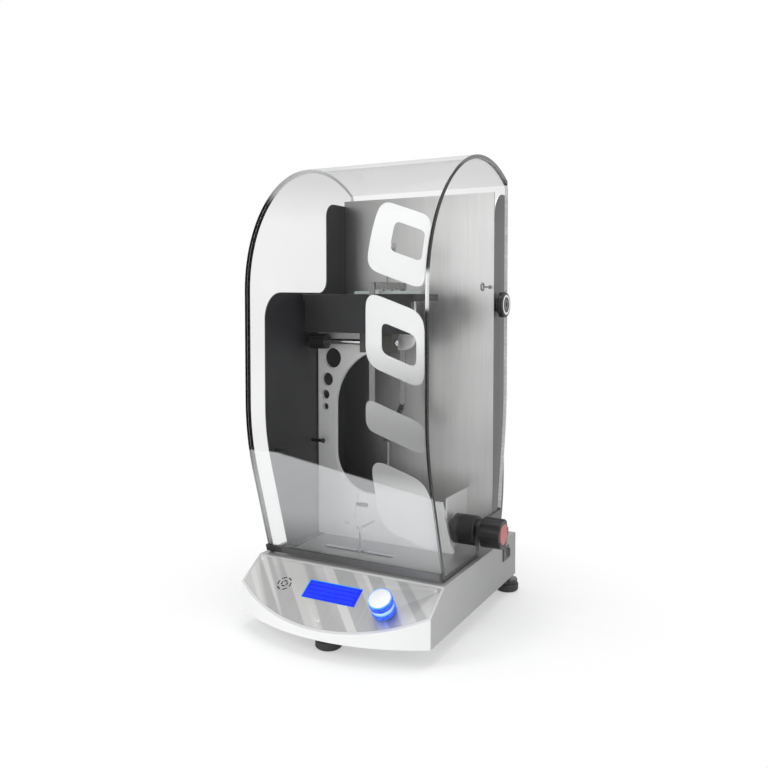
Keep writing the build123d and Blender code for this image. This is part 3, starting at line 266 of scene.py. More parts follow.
def new_shape_tree(name, sizes):
    # Sizes are the named inputs with their usual values. A whole number makes a count.
    tree = bpy.data.node_groups.new(name, "GeometryNodeTree")
    for way in ("INPUT", "OUTPUT"):
        tree.interface.new_socket(name="Geometry", in_out=way, socket_type="NodeSocketGeometry")
    for size, usual in sizes.items():
        kind = "NodeSocketInt" if isinstance(usual, int) else "NodeSocketFloat"
        tree.interface.new_socket(name=size, in_out="INPUT", socket_type=kind).default_value = usual
    return tree, new_node(tree, "NodeGroupInput").outputs


def copies_on(tree, points, shape, turn=(0, 0, 0)):
    ends = {"Points": points, "Instance": shape, "Rotation": turn}
    return new_node(tree, "GeometryNodeInstanceOnPoints", ends).outputs["Instances"]


def finish_tree(tree, geometry, material):
    real = new_node(tree, "GeometryNodeRealizeInstances", {0: geometry})
    dress = new_node(tree, "GeometryNodeSetMaterial", {0: real.outputs[0], "Material": material})
    new_node(tree, "NodeGroupOutput", {0: dress.outputs[0]})


def settled_mesh(holder):
    # The mesh that an object's curve or modifiers come to. The object itself then goes.
    bpy.context.view_layer.update()
    whole = holder.evaluated_get(bpy.context.evaluated_depsgraph_get())
    mesh = bpy.data.meshes.new_from_object(whole)
    bpy.data.objects.remove(holder)
    return mesh


def grown(seed_mesh, name, tree, **sizes):
    # Runs a shape tree on a seed mesh and keeps the result as a plain mesh.
    seed = put_in_scene(seed_mesh, name + " seed")
    growth = seed.modifiers.new("growth", "NODES")
    growth.node_group = tree
    for item in tree.interface.items_tree:
        key = item.name.replace(" ", "_").lower()
        if item.in_out == "INPUT" and key in sizes:
            growth[item.identifier] = sizes[key]
    mesh = settled_mesh(seed)
    mesh.name = name
    return put_in_scene(mesh, name)


def points_mesh(name, places):
    mesh = bpy.data.meshes.new(name)
    mesh.from_pydata([tuple(p) for p in places], [], [])
    return mesh


def rib_ring_tree(material):
    # Rounded ribs standing round a circle that lies flat.
    tree, given = new_shape_tree("finger ribs round a wheel", {
        "Rib count": 24, "Ring radius": 0.018, "Rib radius": 0.001, "Rib height": 0.006,
    })
    ring = new_node(tree, "GeometryNodeMeshCircle", {
        "Vertices": given["Rib count"], "Radius": given["Ring radius"],
    })
    rib = new_node(tree, "GeometryNodeMeshCylinder", {
        "Vertices": 10, "Radius": given["Rib radius"], "Depth": given["Rib height"],
    })
    ribs = copies_on(tree, ring.outputs["Mesh"], rib.outputs["Mesh"])
    finish_tree(tree, copies_on(tree, given["Geometry"], ribs), material)
    return tree


pad_rubber = moulded("foot rubber", (0.022, 0.022, 0.023), 0.62, 500)
wheel_red = moulded("foot wheel red", (0.42, 0.045, 0.035), 0.36, 700, 0.00002, (0.55, 0.09, 0.07))
# The rear wheels are painted near black as painted shade.
rear_wheel_painted_shade = moulded(
    "foot wheel dark", (0.020, 0.019, 0.019), 0.45, 700, 0.00002, (0.035, 0.033, 0.033)
)
# The studs are painted dark as painted shade.
stud_steel_painted_shade = turned_metal("stud steel painted shade", grey(0.10), grey(0.18), 0.35)
red_wheel_ribs = rib_ring_tree(wheel_red)
rear_wheel_ribs_painted_shade = rib_ring_tree(rear_wheel_painted_shade)
for place, (x, y) in foot_places.items():
    is_red = place == "front"
    machined(f"foot_{place}_pad", f"rubber_pad_{place}", pad_rubber, 0.0009, 3)
    wheel_finish = wheel_red if is_red else rear_wheel_painted_shade
    wheel = machined(f"foot_{place}_screw", f"adjusting_wheel_{place}", wheel_finish)
    centre = at(x, y, (foot_wheel_low + foot_wheel_high) / 2)
    paint_where(wheel, stud_steel_painted_shade, lambda c, n: (c - centre).xy.length < foot_stud_reach)
    ribs = grown(
        points_mesh("wheel centre", [centre]),
        f"finger_ribs_{place}",
        red_wheel_ribs if is_red else rear_wheel_ribs_painted_shade,
        rib_count=36,
        ring_radius=foot_wheel_radius - 0.0010,
        rib_radius=finger_rib_radius,
        rib_height=(foot_wheel_high - foot_wheel_low - finger_rib_margin) / 1000,
    )
    shade(ribs.data)
    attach(ribs, f"foot_{place}_wheel")

# Control panel: a brushed stainless plate let into the sloped face, held by three small screws.
# The brushing runs up the slope, and broad pale bands of painted reflection cross it.
slope_rise = (76.5 - 44.5) / 50.5
slope_cos = 1 / math.sqrt(1 + slope_rise ** 2)
slope_sin = slope_rise * slope_cos
slope_foot = 28 + 44.5
panel_tilt = math.atan(slope_rise)
reflection_band_slant = math.radians(48)
reflection_band_shift = 0.120


def on_slope(x, v, lift=0.0):
    # A place on the panel: x across, v up the slope from the front corners' line, lift off it.
    depth = v * slope_cos - lift * slope_sin
    return at(x, depth, slope_foot + v * slope_sin + lift * slope_cos)


def painted_reflection_bands(tree, fineness):
    # Painted reflection: long soft bands that cross the slope on a slant, standing for a room's windows
    # seen in brushed steel.
    lay = new_node(tree, "ShaderNodeMapping", {
        "Vector": new_node(tree, "ShaderNodeTexCoord").outputs["Object"],
        "Location": (reflection_band_shift, 0, 0),
        "Rotation": (0, 0, reflection_band_slant),
        "Scale": (1 / fineness, 1, 1),
    }, vector_type="TEXTURE")
    soft_bands = {"Vector": lay.outputs["Vector"], "Scale": 1.0, "Detail": 0.5}
    return new_node(tree, "ShaderNodeTexNoise", soft_bands).outputs["Fac"]


def panel_steel():
    finish, tree, shader = blank_finish("brushed panel steel")
    hair = noise_value(tree, 1.0, (1500, 14, 14), 5)
    # Pale bands of painted reflection lie over the brushed tone.
    broad = spread(tree, painted_reflection_bands(tree, 30), 0, 1, 0.50, 0.53)
    narrow_painted_reflection = spread(tree, painted_reflection_bands(tree, 48), 0, 0.8, 0.60, 0.63)
    tone = blend_colours(tree, spread(tree, hair), grey(0.36), (0.43, 0.43, 0.425))
    tone = blend_colours(tree, broad, tone, (0.52, 0.52, 0.51))
    feed(shader, {
        "Base Color": blend_colours(tree, narrow_painted_reflection, tone, (0.62, 0.62, 0.61)),
        "Roughness": spread(tree, hair, 0.30, 0.42),
        "Metallic": 0.75,
    })
    dent(tree, shader, hair, 0.000012, 0.3)
    return finish


def maths(tree, operation, first, second):
    return new_node(tree, "ShaderNodeMath", {0: first, 1: second}, operation=operation).outputs[0]


def socket_screw_tree(material):
    # Round heads with a hexagon socket, one on each point, all leaning the same way.
    tree, given = new_shape_tree("socket screws on points", {
        "Head radius": 0.003, "Head height": 0.001, "Socket radius": 0.0012, "Lean": 0.0,
    })
    height = given["Head height"]
    head = new_node(tree, "GeometryNodeMeshCylinder", {
        "Vertices": 32, "Radius": given["Head radius"], "Depth": height,
    })
    hole = new_node(tree, "GeometryNodeMeshCylinder", {
        "Vertices": 6, "Radius": given["Socket radius"], "Depth": height,
    })
    raised = new_node(tree, "ShaderNodeCombineXYZ", {"Z": maths(tree, "MULTIPLY", height, 0.6)})
    lift = new_node(tree, "GeometryNodeTransform", {
        "Geometry": hole.outputs["Mesh"], "Translation": raised.outputs[0],
    })
    sides = {0: head.outputs["Mesh"], 1: lift.outputs["Geometry"]}
    cut = new_node(tree, "GeometryNodeMeshBoolean", sides, operation="DIFFERENCE")
    tilt = new_node(tree, "ShaderNodeCombineXYZ", {"X": given["Lean"]})
    screws = copies_on(tree, given["Geometry"], cut.outputs["Mesh"], tilt.outputs[0])
    finish_tree(tree, screws, material)
    return tree


machined("control_panel", "panel_plate", panel_steel(), 0.00025)
screw_steel = turned_metal("screw steel", (0.62, 0.62, 0.63), grey(0.88), 0.2)
screw_tree = socket_screw_tree(screw_steel)
panel_screw_sink = -0.15
panel_screw_places = ((-158, 49), (158, 49), (0, -41))
panel_screw_spots = [on_slope(x, v, panel_screw_sink) for x, v in panel_screw_places]
panel_heads = grown(
    points_mesh("panel screw spots", panel_screw_spots),
    "panel_screw_heads",
    screw_tree,
    head_radius=0.0027,
    head_height=0.0011,
    socket_radius=0.0013,
    lean=panel_tilt,
)
shade(panel_heads.data)
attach(panel_heads, "base")
machined("panel_screws", "panel_screw_shanks", screw_steel, 0)

# Display: a blue backlit pane behind the panel's window, with a paler border where the light
# leaks in and a matrix of faint character cells. The black frame behind it holds the glass.
display_x, display_v = -3, 11.5
display_width, display_height = 96, 34.5
border = 1.3
border_low = -1.4


def lit_finish(name, dim, bright, grain, detail=2, strength=1.0, rough=0.3):
    # Nearly black in itself, and glowing in two close tones.
    finish, tree, shader = blank_finish(name)
    mottle = noise_value(tree, grain, detail=detail)
    feed(shader, {
        "Base Color": blend_colours(tree, mottle, (0.0, 0.0, 0.02), (0.0, 0.002, 0.04)),
        "Emission Color": blend_colours(tree, spread(tree, mottle), dim, bright),
        "Emission Strength": strength,
        "Specular IOR Level": 0.12,
        "Roughness": spread(tree, mottle, *rough) if isinstance(rough, tuple) else rough,
    })
    return finish


def solid_mesh(name, corners, faces):
    # A closed mesh with its double corners merged and its faces outward.
    mesh = bpy.data.meshes.new(name)
    mesh.from_pydata(corners, [], faces)
    solid = bmesh.new()
    solid.from_mesh(mesh)
    bmesh.ops.remove_doubles(solid, verts=solid.verts, dist=1e-6)
    bmesh.ops.recalc_face_normals(solid, faces=solid.faces)
    solid.to_mesh(mesh)
    solid.free()
    return mesh


def box_mesh(name, corners):
    # Corners are two loops of four, one over the other.
    faces = [(3, 2, 1, 0), (4, 5, 6, 7), (0, 1, 5, 4), (1, 2, 6, 5), (2, 3, 7, 6), (3, 0, 4, 7)]
    return solid_mesh(name, corners, faces)


def border_bar(name, x, v, width, height, high):
    corners = []
    for dz in (border_low, high):
        for dx, dv in ((-1, -1), (1, -1), (1, 1), (-1, 1)):
            corners.append(tuple(on_slope(x + dx * width / 2, v + dv * height / 2, dz)))
    return box_mesh(name, corners)


def joined(name, meshes):
    whole = bmesh.new()
    for mesh in meshes:
        whole.from_mesh(mesh)
    mesh = bpy.data.meshes.new(name)
    whole.to_mesh(mesh)
    whole.free()
    return mesh


blue_pane = lit_finish(
    "blue backlit pane", (0.010, 0.030, 0.90), (0.014, 0.040, 0.98), 120, 3, rough=(0.10, 0.16)
)
machined("lcd_window", "display_pane", blue_pane, 0.0002)
top_v = display_v + (display_height - border) / 2
low_v = display_v - display_height / 2 + border / 4
left_x = display_x - (display_width - border) / 2
edge_bars = [
    border_bar("top light", display_x, top_v, display_width, border, -0.35),
    border_bar("left light", left_x, display_v, border, display_height, -0.34),
    border_bar("low light", display_x, low_v, display_width, border / 2, -0.36),
]
glow_edge = put_in_scene(joined("display_lit_border", edge_bars), "display_lit_border")
border_light = lit_finish(
    "light at the display's border", (0.02, 0.36, 0.95), (0.023, 0.414, 1.0), 300, strength=0.95
)
glow_edge.data.materials.append(border_light)
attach(glow_edge, "base")


def cell_tree(material):
    # Small flat character cells in rows, one set on the seed point.
    tree, given = new_shape_tree("character cells", {
        "Cells across": 20, "Rows": 4, "Field width": 0.08, "Field height": 0.024,
        "Cell width": 0.003, "Lean": 0.0,
    })
    grid = new_node(tree, "GeometryNodeMeshGrid", {
        "Vertices X": given["Cells across"], "Vertices Y": given["Rows"],
        "Size X": given["Field width"], "Size Y": given["Field height"],
    })
    tall = maths(tree, "MULTIPLY", given["Cell width"], 1.5)
    size = new_node(tree, "ShaderNodeCombineXYZ", {"X": given["Cell width"], "Y": tall, "Z": 0.00012})
    cell = new_node(tree, "GeometryNodeMeshCube", {"Size": size.outputs[0]})
    field = copies_on(tree, grid.outputs["Mesh"], cell.outputs["Mesh"])
    tilt = new_node(tree, "ShaderNodeCombineXYZ", {"X": given["Lean"]})
    finish_tree(tree, copies_on(tree, given["Geometry"], field, tilt.outputs[0]), material)
    return tree


cell_light = lit_finish("faint display cell", (0.016, 0.050, 0.99), (0.0184, 0.0575, 1.0), 300)
cells = grown(
    points_mesh("display middle", [on_slope(display_x, display_v, -0.38)]),
    "display_cells",
    cell_tree(cell_light),
    cells_across=20,
    rows=4,
    field_width=0.080,
    field_height=0.0225,
    cell_width=0.0031,
    lean=panel_tilt,
)
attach(cells, "base")
frame_black = moulded("display frame black", (0.02, 0.02, 0.022), 0.5)
machined("lcd_module", "display_frame", frame_black, 0.0003)

# Circuit board and speaker: a green board on the back of the display, with its chips, and a small
# paper-cone speaker glued behind the panel's curved sound slots.


def solder_mask():
    finish, tree, shader = blank_finish("green board")
    tracks = noise_value(tree, 260, (1, 4, 1), 2)
    copper = spread(tree, tracks, 0, 1, 0.48, 0.52)
    feed(shader, {
        "Base Color": blend_colours(tree, copper, (0.01, 0.13, 0.05), (0.02, 0.24, 0.10)),
        "Roughness": spread(tree, tracks, 0.3, 0.4),
    })
    dent(tree, shader, tracks, 0.00004, 0.4)
    return finish


machined("control_board", "display_board", solder_mask(), 0.0002)
cone_paper = moulded("speaker cone paper", (0.035, 0.034, 0.032), 0.7, 400)
machined("speaker", "sound_cone", cone_paper, 0.0003)

# Turn-and-push knob: a steel shaft in a body behind the panel, a blue translucent skirt lit from
# inside, with two grooves round its waist, and a pale satin disc on top.
knob_x, knob_v = 95.5, -1
knob_place = Matrix.Translation(on_slope(knob_x, knob_v)) @ Matrix.Rotation(panel_tilt, 4, "X")
skirt_profile = [
    (3.1, 2.3), (17.6, 2.3), (18.7, 3.0), (18.95, 5.0), (18.95, 9.0), (18.4, 10.6), (17.4, 11.6),
    (17.0, 12.4), (17.3, 13.2), (17.9, 13.9), (17.3, 14.7), (17.2, 15.5), (17.9, 16.4),
    (18.7, 17.8), (18.95, 20.0), (18.95, 27.3), (18.5, 28.5), (17.7, 28.95), (17.2, 28.6),
    (17.2, 27.05), (3.1, 27.05),
]
disc_profile = [(0, 27.1), (17.0, 27.1), (17.0, 28.9), (16.6, 29.3), (15.9, 29.5), (0, 29.55)]


def lathe(name, profile, spots=72, closed=False):
    # Turns (radius, height) pairs in millimetres round the Z axis, through the origin.
    points, faces = [], []
    rows = len(profile)
    for i in range(spots):
        a = 2 * math.pi * i / spots
        for r, z in profile:
            points.append((r / 1000 * math.cos(a), r / 1000 * math.sin(a), z / 1000))
    span = rows if closed else rows - 1
    for i in range(spots):
        j = (i + 1) % spots
        for k in range(span):
            l = (k + 1) % rows
            faces.append((i * rows + k, j * rows + k, j * rows + l, i * rows + l))
    mesh = solid_mesh(name, points, faces)
    shade(mesh, math.radians(32))
    return mesh


def keep_height(mesh):
    # Stores each corner's height along the knob, for a finish that follows it.
    heights = [v.co.z for v in mesh.vertices]
    low, high = min(heights), max(heights)
    store = mesh.attributes.new("height", "FLOAT", "POINT")
    store.data.foreach_set("value", [(h - low) / (high - low) for h in heights])


def ramp_colour(tree, value, stops):
    # Stops are (share, colour) pairs.
    ramp = new_node(tree, "ShaderNodeValToRGB", {"Fac": value})
    while len(ramp.color_ramp.elements) < len(stops):
        ramp.color_ramp.elements.new(0.5)
    for element, (spot, colour) in zip(ramp.color_ramp.elements, stops):
        element.position = spot
        element.color = (*colour, 1)
    return ramp.outputs["Color"]


def skirt_glow():
    finish, tree, shader = blank_finish("lit blue skirt")
    height = new_node(tree, "ShaderNodeAttribute", attribute_name="height").outputs["Fac"]
    glow = ramp_colour(tree, height, (
        (0.00, (0.02, 0.14, 0.95)),
        (0.10, (0.01, 0.05, 0.90)),
        (0.30, (0.01, 0.05, 0.95)),
        (0.38, (0.35, 0.62, 1.0)),
        (0.43, (0.02, 0.15, 0.98)),
        (0.49, (0.70, 0.85, 1.0)),
        (0.58, (0.005, 0.03, 0.90)),
        (0.93, (0.005, 0.04, 0.92)),
        (1.00, (0.04, 0.34, 1.0)),
    ))
    haze_and_painted_reflection = noise_value(tree, 160, detail=2)
    tone = blend_colours(tree, spread(tree, haze_and_painted_reflection, 0, 0.2), glow, (0.2, 0.5, 1.0))
    feed(shader, {
        "Base Color": tone,
        "Emission Color": tone,
        "Emission Strength": 0.45,
        "Specular IOR Level": 0.3,
        "Roughness": spread(tree, haze_and_painted_reflection, 0.08, 0.14),
    })
    return finish


skirt_mesh = lathe("knob_skirt", skirt_profile, 96, True)
keep_height(skirt_mesh)
skirt_mesh.transform(knob_place)
skirt = put_in_scene(skirt_mesh, "knob_skirt")
skirt.data.materials.append(skirt_glow())
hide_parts("encoder_ring")
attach(skirt, "encoder_knob")
disc_mesh = lathe("knob_disc", disc_profile, 96)
disc_mesh.transform(knob_place)
disc = put_in_scene(disc_mesh, "knob_disc")
satin_disc = turned_metal("satin disc", (0.70, 0.71, 0.73), (0.80, 0.81, 0.82), 0.4, 900, 0.25)
disc.data.materials.append(satin_disc)
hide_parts("encoder_cap")
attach(disc, "encoder_knob")
machined("encoder_shaft", "knob_shaft", stud_steel_painted_shade, 0.0002)
tinned_case = turned_metal("tinned case", grey(0.5), (0.7, 0.7, 0.69), 0.35)
machined("encoder_body", "knob_body", tinned_case, 0.0003)

# Mains switch: a black snap-in bezel on the right side with a black rocker in it, which carries
# the usual raised bar at one end and ring at the other.
switch_black = moulded("switch black", (0.018, 0.018, 0.019), 0.3, 1200, 0.00001)
machined("switch_bezel", "switch_frame", switch_black, 0.0005, 3)
machined("rocker", "switch_key", switch_black, 0.0005, 3)

# Mains inlet and supply: a black moulded socket with three tinned pins at the back of the case,
# and a boxed power supply on posts on the bottom plate.
inlet = machined("power_inlet", "mains_socket", switch_black)
pin_tin = turned_metal("tinned pins", (0.60, 0.56, 0.45), (0.78, 0.74, 0.62), 0.25)
socket_middle = at(-105, 372, 64)
socket_floor = at(0, 355.2, 0).y
socket_half_width = 0.0085
socket_half_height = 0.0068
socket_rim_gap = 0.0005


def is_pin(c, n):
    off = c - socket_middle
    within = abs(off.x) < socket_half_width and abs(off.z) < socket_half_height
    return within and c.y > socket_floor and abs(off.y) > socket_rim_gap


paint_where(inlet, pin_tin, is_pin)
machined("power_supply", "supply_case", galvanised, 0.0006)

# Rear column: one folded stainless sheet, open at the back, whose foot sweeps forward to the deck.
# It has a fine vertical grain, and is screwed down through its foot.


def shaded_steel():
    # Satin steel with painted reflection and light: darker toward the wind wall, whose dark sheet it
    # mirrors, and lighter above the table, as the photo's is.
    finish = brushed_sheet(
        "column steel", grey(0.60), (0.68, 0.68, 0.67), (260, 260, 8), (0.30, 0.38), 0.96, 0.000002
    )
    tree = finish.node_tree
    shader = tree.nodes["Principled BSDF"]
    hair_tone = shader.inputs["Base Color"].links[0].from_socket
    # Painted reflection across the column, and painted light above the table.
    painted_light_across = spread(tree, place_value(tree, "X"), 0.35, 1.1, -0.16, 0.13)
    painted_light_above_table = spread(tree, place_value(tree, "Z"), 1.0, 1.38, 0.42, 0.56)
    light = maths(tree, "MULTIPLY", painted_light_across, painted_light_above_table)
    dim = new_node(tree, "ShaderNodeVectorMath", {0: hair_tone}, operation="SCALE")
    feed(dim, {"Scale": light})
    feed(shader, {"Base Color": dim.outputs[0]})
    return finish


column = machined("back_plate", "rear_column", shaded_steel())
flange_painted_shade = brushed_sheet(
    "flange steel painted shade", grey(0.09), (0.13, 0.13, 0.128), (400, 400, 8), (0.4, 0.5), 0.5
)
# The sideways flanges are painted near black as painted shade.
paint_where(column, flange_painted_shade, lambda c, n: abs(n.x) > 0.9)

# Wind wall: a near-black sheet down the left side, stepped at the front so that a hand can reach
# the table, with a folded foot screwed to the deck.
wall_dark = brushed_sheet(
    "dark wall sheet", (0.010, 0.010, 0.012), (0.024, 0.024, 0.027), (22, 22, 9), (0.42, 0.52), 0, 0
)
machined("left_side_wall", "wind_wall", wall_dark, 0.0003)

# Deck screws: low round heads with hexagon sockets through the feet of column, wall and bracket.
# Each stands on the sheet that it holds down.
deck_top = 104.5
deck_head_half = 1
deck_spots = [(x, 293, 2) for x in (-115, 0, 115)]
deck_spots += [(-143, y, 2) for y in (150, 245)]
deck_spots += [(96, y, 3) for y in (250, 268)]
deck_places = [at(x, y, deck_top + sheet + deck_head_half) for x, y, sheet in deck_spots]
deck_heads = grown(
    points_mesh("deck screw places", deck_places),
    "deck_screw_heads",
    screw_tree,
    head_radius=0.00405,
    head_height=0.0021,
    socket_radius=0.0014,
    lean=0.0,
)
shade(deck_heads.data)
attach(deck_heads, "base")
machined("deck_screws", "deck_screw_shanks", screw_steel, 0)

# Stand: a C-shaped plate, laser cut from 8 mm stainless and blasted to an even pale grey, with
# four round holes down its spine. A folded bracket behind its right leg ties it to the column.
stand_blast = brushed_sheet(
    "blasted stand steel", grey(0.80), (0.88, 0.88, 0.87), (500, 500, 500), (0.38, 0.5), 0.5
)
machined("stand_plate", "c_stand", stand_blast, 0.0007, 3)
bracket_steel = brushed_sheet(
    "bracket steel", grey(0.72), (0.80, 0.80, 0.795), (260, 260, 8), metal=0.6
)
machined("stand_bracket", "stand_tie", bracket_steel)

# Start line: a thin engraved and inked line at twelve degrees under the slot, with the plain
# numbers of the two swing ends beside it. Ink lies in the stand's front face.
ink = moulded("black ink", grey(0.03), 0.5)
ink_lift = 0.05
stand_face_y = 198


def face_strip(name, ends, width):
    (x0, z0), (x1, z1) = ends
    run = Vector((x1 - x0, 0, z1 - z0)).normalized()
    side = Vector((-run.z, 0, run.x)) * width / 2
    corners = []
    for dy in (0, -ink_lift):
        for x, z, s in ((x0, z0, -1), (x1, z1, -1), (x1, z1, 1), (x0, z0, 1)):
            corners.append(tuple(at(x + side.x * s, stand_face_y + dy, z + side.z * s)))
    return box_mesh(name, corners)


def words_mesh(text, size, x, z):
    # Plain figures standing on the stand's front face, read from the front.
    letter = bpy.data.curves.new(text, "FONT")
    letter.body = text
    letter.size = size / 1000
    letter.extrude = ink_lift / 1000
    mesh = settled_mesh(put_in_scene(letter, text))
    place = at(x, stand_face_y - ink_lift, z)
    mesh.transform(Matrix.Translation(place) @ Matrix.Rotation(math.radians(90), 4, "X"))
    return mesh


strips = [face_strip("twelve degree line", ((-64, 187), (-73, 140)), 0.7)]
strips.append(words_mesh("12", 9, -94, 128))
strips.append(words_mesh("6", 9, -68, 122))
marks = put_in_scene(joined("start_marks", strips), "start_marks")
marks.data.materials.append(ink)
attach(marks, "base")

# Light gate: a small black moulding behind the stand's slot, whose two lenses watch the pointer.
# The lenses are the faces nearest to the stand.
gate_black = moulded("light gate black", (0.02, 0.02, 0.022), 0.45)
gate = machined("light_gate", "pointer_gate", gate_black)
lens_glass = moulded("dark lens", (0.03, 0.005, 0.01), 0.08, 300, 0.000002)
lens_reach = at(0, 205.9, 0).y
paint_where(gate, lens_glass, lambda c, n: c.y < lens_reach)

# Sample table: a black anodised plate bolted on top of the stand's arm, with a deep front skirt
# that hides the lift. The glass check plate lies loose on it, under the pendulum's balls.


def check_glass():
    finish, tree, shader = blank_finish("check glass")
    ripple = spread(tree, noise_value(tree, 20, detail=1))
    feed(shader, {
        "Base Color": blend_colours(tree, ripple, (0.80, 0.92, 0.88), (0.86, 0.95, 0.92)),
        "Roughness": 0.03,
        "IOR": 1.5,
        "Alpha": 0.45,
    })
    return finish


anodised = moulded("black anodised", (0.008, 0.008, 0.009), 0.45, 1500, 0.00001, (0.016, 0.016, 0.018))
machined("sample_table", "specimen_table", anodised, 0.0006)
machined("table_bolts", "table_bolt_set", screw_steel, 0.0002)
machined("glass_check_plate", "check_plate", check_glass(), 0.0005)

# Lift: a polished cross shaft in two black blocks under the table, with a ribbed black knob at
# its left end and a bright spiral cam that raises the steel yoke and the pendulum with it.
polished = turned_metal("polished steel", (0.72, 0.72, 0.73), (0.86, 0.86, 0.87), 0.12, 900)
bearing_black = moulded("bearing black", (0.045, 0.043, 0.038), 0.5)
grip_black = moulded("grip black", (0.006, 0.006, 0.007), 0.42, 900, 0.00001, (0.010, 0.010, 0.011))
yoke_steel = turned_metal("yoke steel", (0.50, 0.50, 0.51), grey(0.70), 0.3, 500)
machined("lift_bearings", "lift_blocks", bearing_black, 0.0005)
machined("lift_shaft", "cross_shaft", polished)
machined("lift_cam", "spiral_cam", polished)
machined("lift_knob", "lift_grip", grip_black, 0.0006, 3)
machined("lift_stirrup", "lift_yoke", yoke_steel, 0.0003)

# Pendulum: a bent steel strip frame hung over the table on two 5 mm balls, with a fine pointer
# below and a steel balance weight on a rod above. It only rests on the plate.
strip_steel = brushed_sheet(
    "pendulum strip", grey(0.20), grey(0.32), (700, 700, 12), (0.2, 0.32), 0.95
)
weight_steel = turned_metal("turned steel", grey(0.30), grey(0.44), 0.24, 900)
for node, name, finish, edge in (
    ("pendulum_frame", "swing_frame", strip_steel, 0.0003),
    ("pendulum_crossbar", "swing_crossbar", strip_steel, 0.0003),
    ("pendulum_balls", "swing_balls", polished, 0),
    ("pendulum_pointer", "swing_pointer", strip_steel, 0.0003),
    ("counterweight_rod", "balance_rod", strip_steel, 0.0003),
    ("counterweight", "balance_disc", weight_steel, 0.0003),
):
    machined(node, name, finish, edge)

# Start hook: a bright bent tube in a collar that slides along the deck's slot. Under the deck its
# brass nut block rides on the drive screw.
hook_chrome = turned_metal("hook chrome", grey(0.38), grey(0.50), 0.16, 900)
brass = turned_metal("turned brass", (0.60, 0.44, 0.18), (0.80, 0.62, 0.30), 0.24, 900)
machined("start_hook", "start_catch", hook_chrome, 0.0002)
machined("hook_carriage", "catch_carriage", brass)

# Drive: the screw runs from a black block on the left to the large boss on the right bracket,
# and out through the hood's notch to a scalloped black knob with a red insert.
cap_red = moulded("knob insert red", (0.45, 0.11, 0.10), 0.45, 500, 0.00003, (0.60, 0.22, 0.20))
machined("drive_screw", "drive_rod", yoke_steel, 0.0003)
machined("screw_support", "rod_block", grip_black, 0.0008, 3)
machined("drive_bearing", "drive_boss", grip_black, 0.0008, 3)
machined("lobed_knob", "scalloped_knob", grip_black, 0.0012, 3)
machined("knob_cap", "knob_insert", cap_red)

# Pegs and eye: black headed pegs on the wind wall, for the pendulum not in use, and a dull wire
# eye screwed into the column.
machined("pendulum_pegs", "hanging_pegs", grip_black)
dull_wire = turned_metal("dull wire", grey(0.16), grey(0.30), 0.35)
machined("hanger_eye", "wire_eye", dull_wire, 0)

# Hood: one clear acrylic sheet bent over the front and top, glued to two clear sides cut to the
# same curve. The cut edges are painted nearly black as painted shade where they carry no light, and
# painted grey near both ends, with a painted highlight on the right edge and the rear edges painted
# pale.
hood_veil = 0.955
hood_painted_reflection_share = 0.21
rim_gloss_power = 7.0
hood_joint_gap = 0.0002
top_corner_height = 0.55
painted_light_edge_height = 0.22
# Painted light and shade along the cut edges, with a painted highlight on the right edge.
right_edge_painted_light_stops = (
    (0.0, 0.10), (0.12, 0.03), (0.30, 0.004), (0.62, 0.004), (0.63, 0.7), (0.70, 0.8),
    (0.715, 0.01), (0.95, 0.02), (0.965, 0.16), (1.0, 0.20),
)
left_edge_painted_light_stops = (
    (0.0, 0.30), (0.20, 0.20), (0.26, 0.004), (0.885, 0.006), (0.915, 0.50), (1.0, 0.70),
)


def clear_sheet(name, haze_and_painted_reflection=0.0):
    # What is behind shows, less a little grey, under a gloss that grows toward the rim. Near the top
    # the sheet is painted greyer as painted shade. The haze is how much of a pale painted reflection
    # the front sheet's lower part carries, up to a line that falls a little to the right, and fading
    # down to the deck.
    finish, tree, shader = blank_finish(name)
    tree.nodes.remove(shader)
    smear = noise_value(tree, 5, detail=3)
    paler = (hood_veil + 0.02, hood_veil + 0.022, hood_veil + 0.02)
    tone = blend_colours(tree, spread(tree, smear), grey(hood_veil), paler)
    height = place_value(tree, "Z")
    # Painted shade: the sheet is greyer toward the top.
    painted_shade_toward_top = spread(tree, height, 0, 1, 0.66, 0.75)
    tone = blend_colours(tree, painted_shade_toward_top, tone, (0.90, 0.902, 0.90))
    through = new_node(tree, "ShaderNodeBsdfTransparent", {"Color": tone})
    gloss = new_node(tree, "ShaderNodeBsdfGlossy", {"Roughness": spread(tree, smear, 0.01, 0.03)})
    rim = new_node(tree, "ShaderNodeLayerWeight", {"Blend": 0.5}).outputs["Facing"]
    share = spread(tree, maths(tree, "POWER", rim, rim_gloss_power), 0.004, 0.62, 0, 1)
    layers = {0: share, 1: through.outputs[0], 2: gloss.outputs[0]}
    skin = new_node(tree, "ShaderNodeMixShader", layers)
    # Painted reflection: a pale veil over the front sheet's lower part.
    if haze_and_painted_reflection:
        line = spread(tree, place_value(tree, "X"), 0.288, 0.242, -0.121, 0.147)
        below = spread(tree, maths(tree, "SUBTRACT", line, height), 0, haze_and_painted_reflection, 0.0, 0.0015)
        fading = spread(tree, height, 0.45, 1.0, 0.130, 0.185)
        pale = new_node(tree, "ShaderNodeBsdfDiffuse", {"Color": (0.85, 0.86, 0.86)})
        reflection_share = maths(tree, "MULTIPLY", below, fading)
        layers = {0: reflection_share, 1: skin.outputs[0], 2: pale.outputs[0]}
        skin = new_node(tree, "ShaderNodeMixShader", layers)
    feed(tree.nodes["Material Output"], {"Surface": skin.outputs[0]})
    return finish


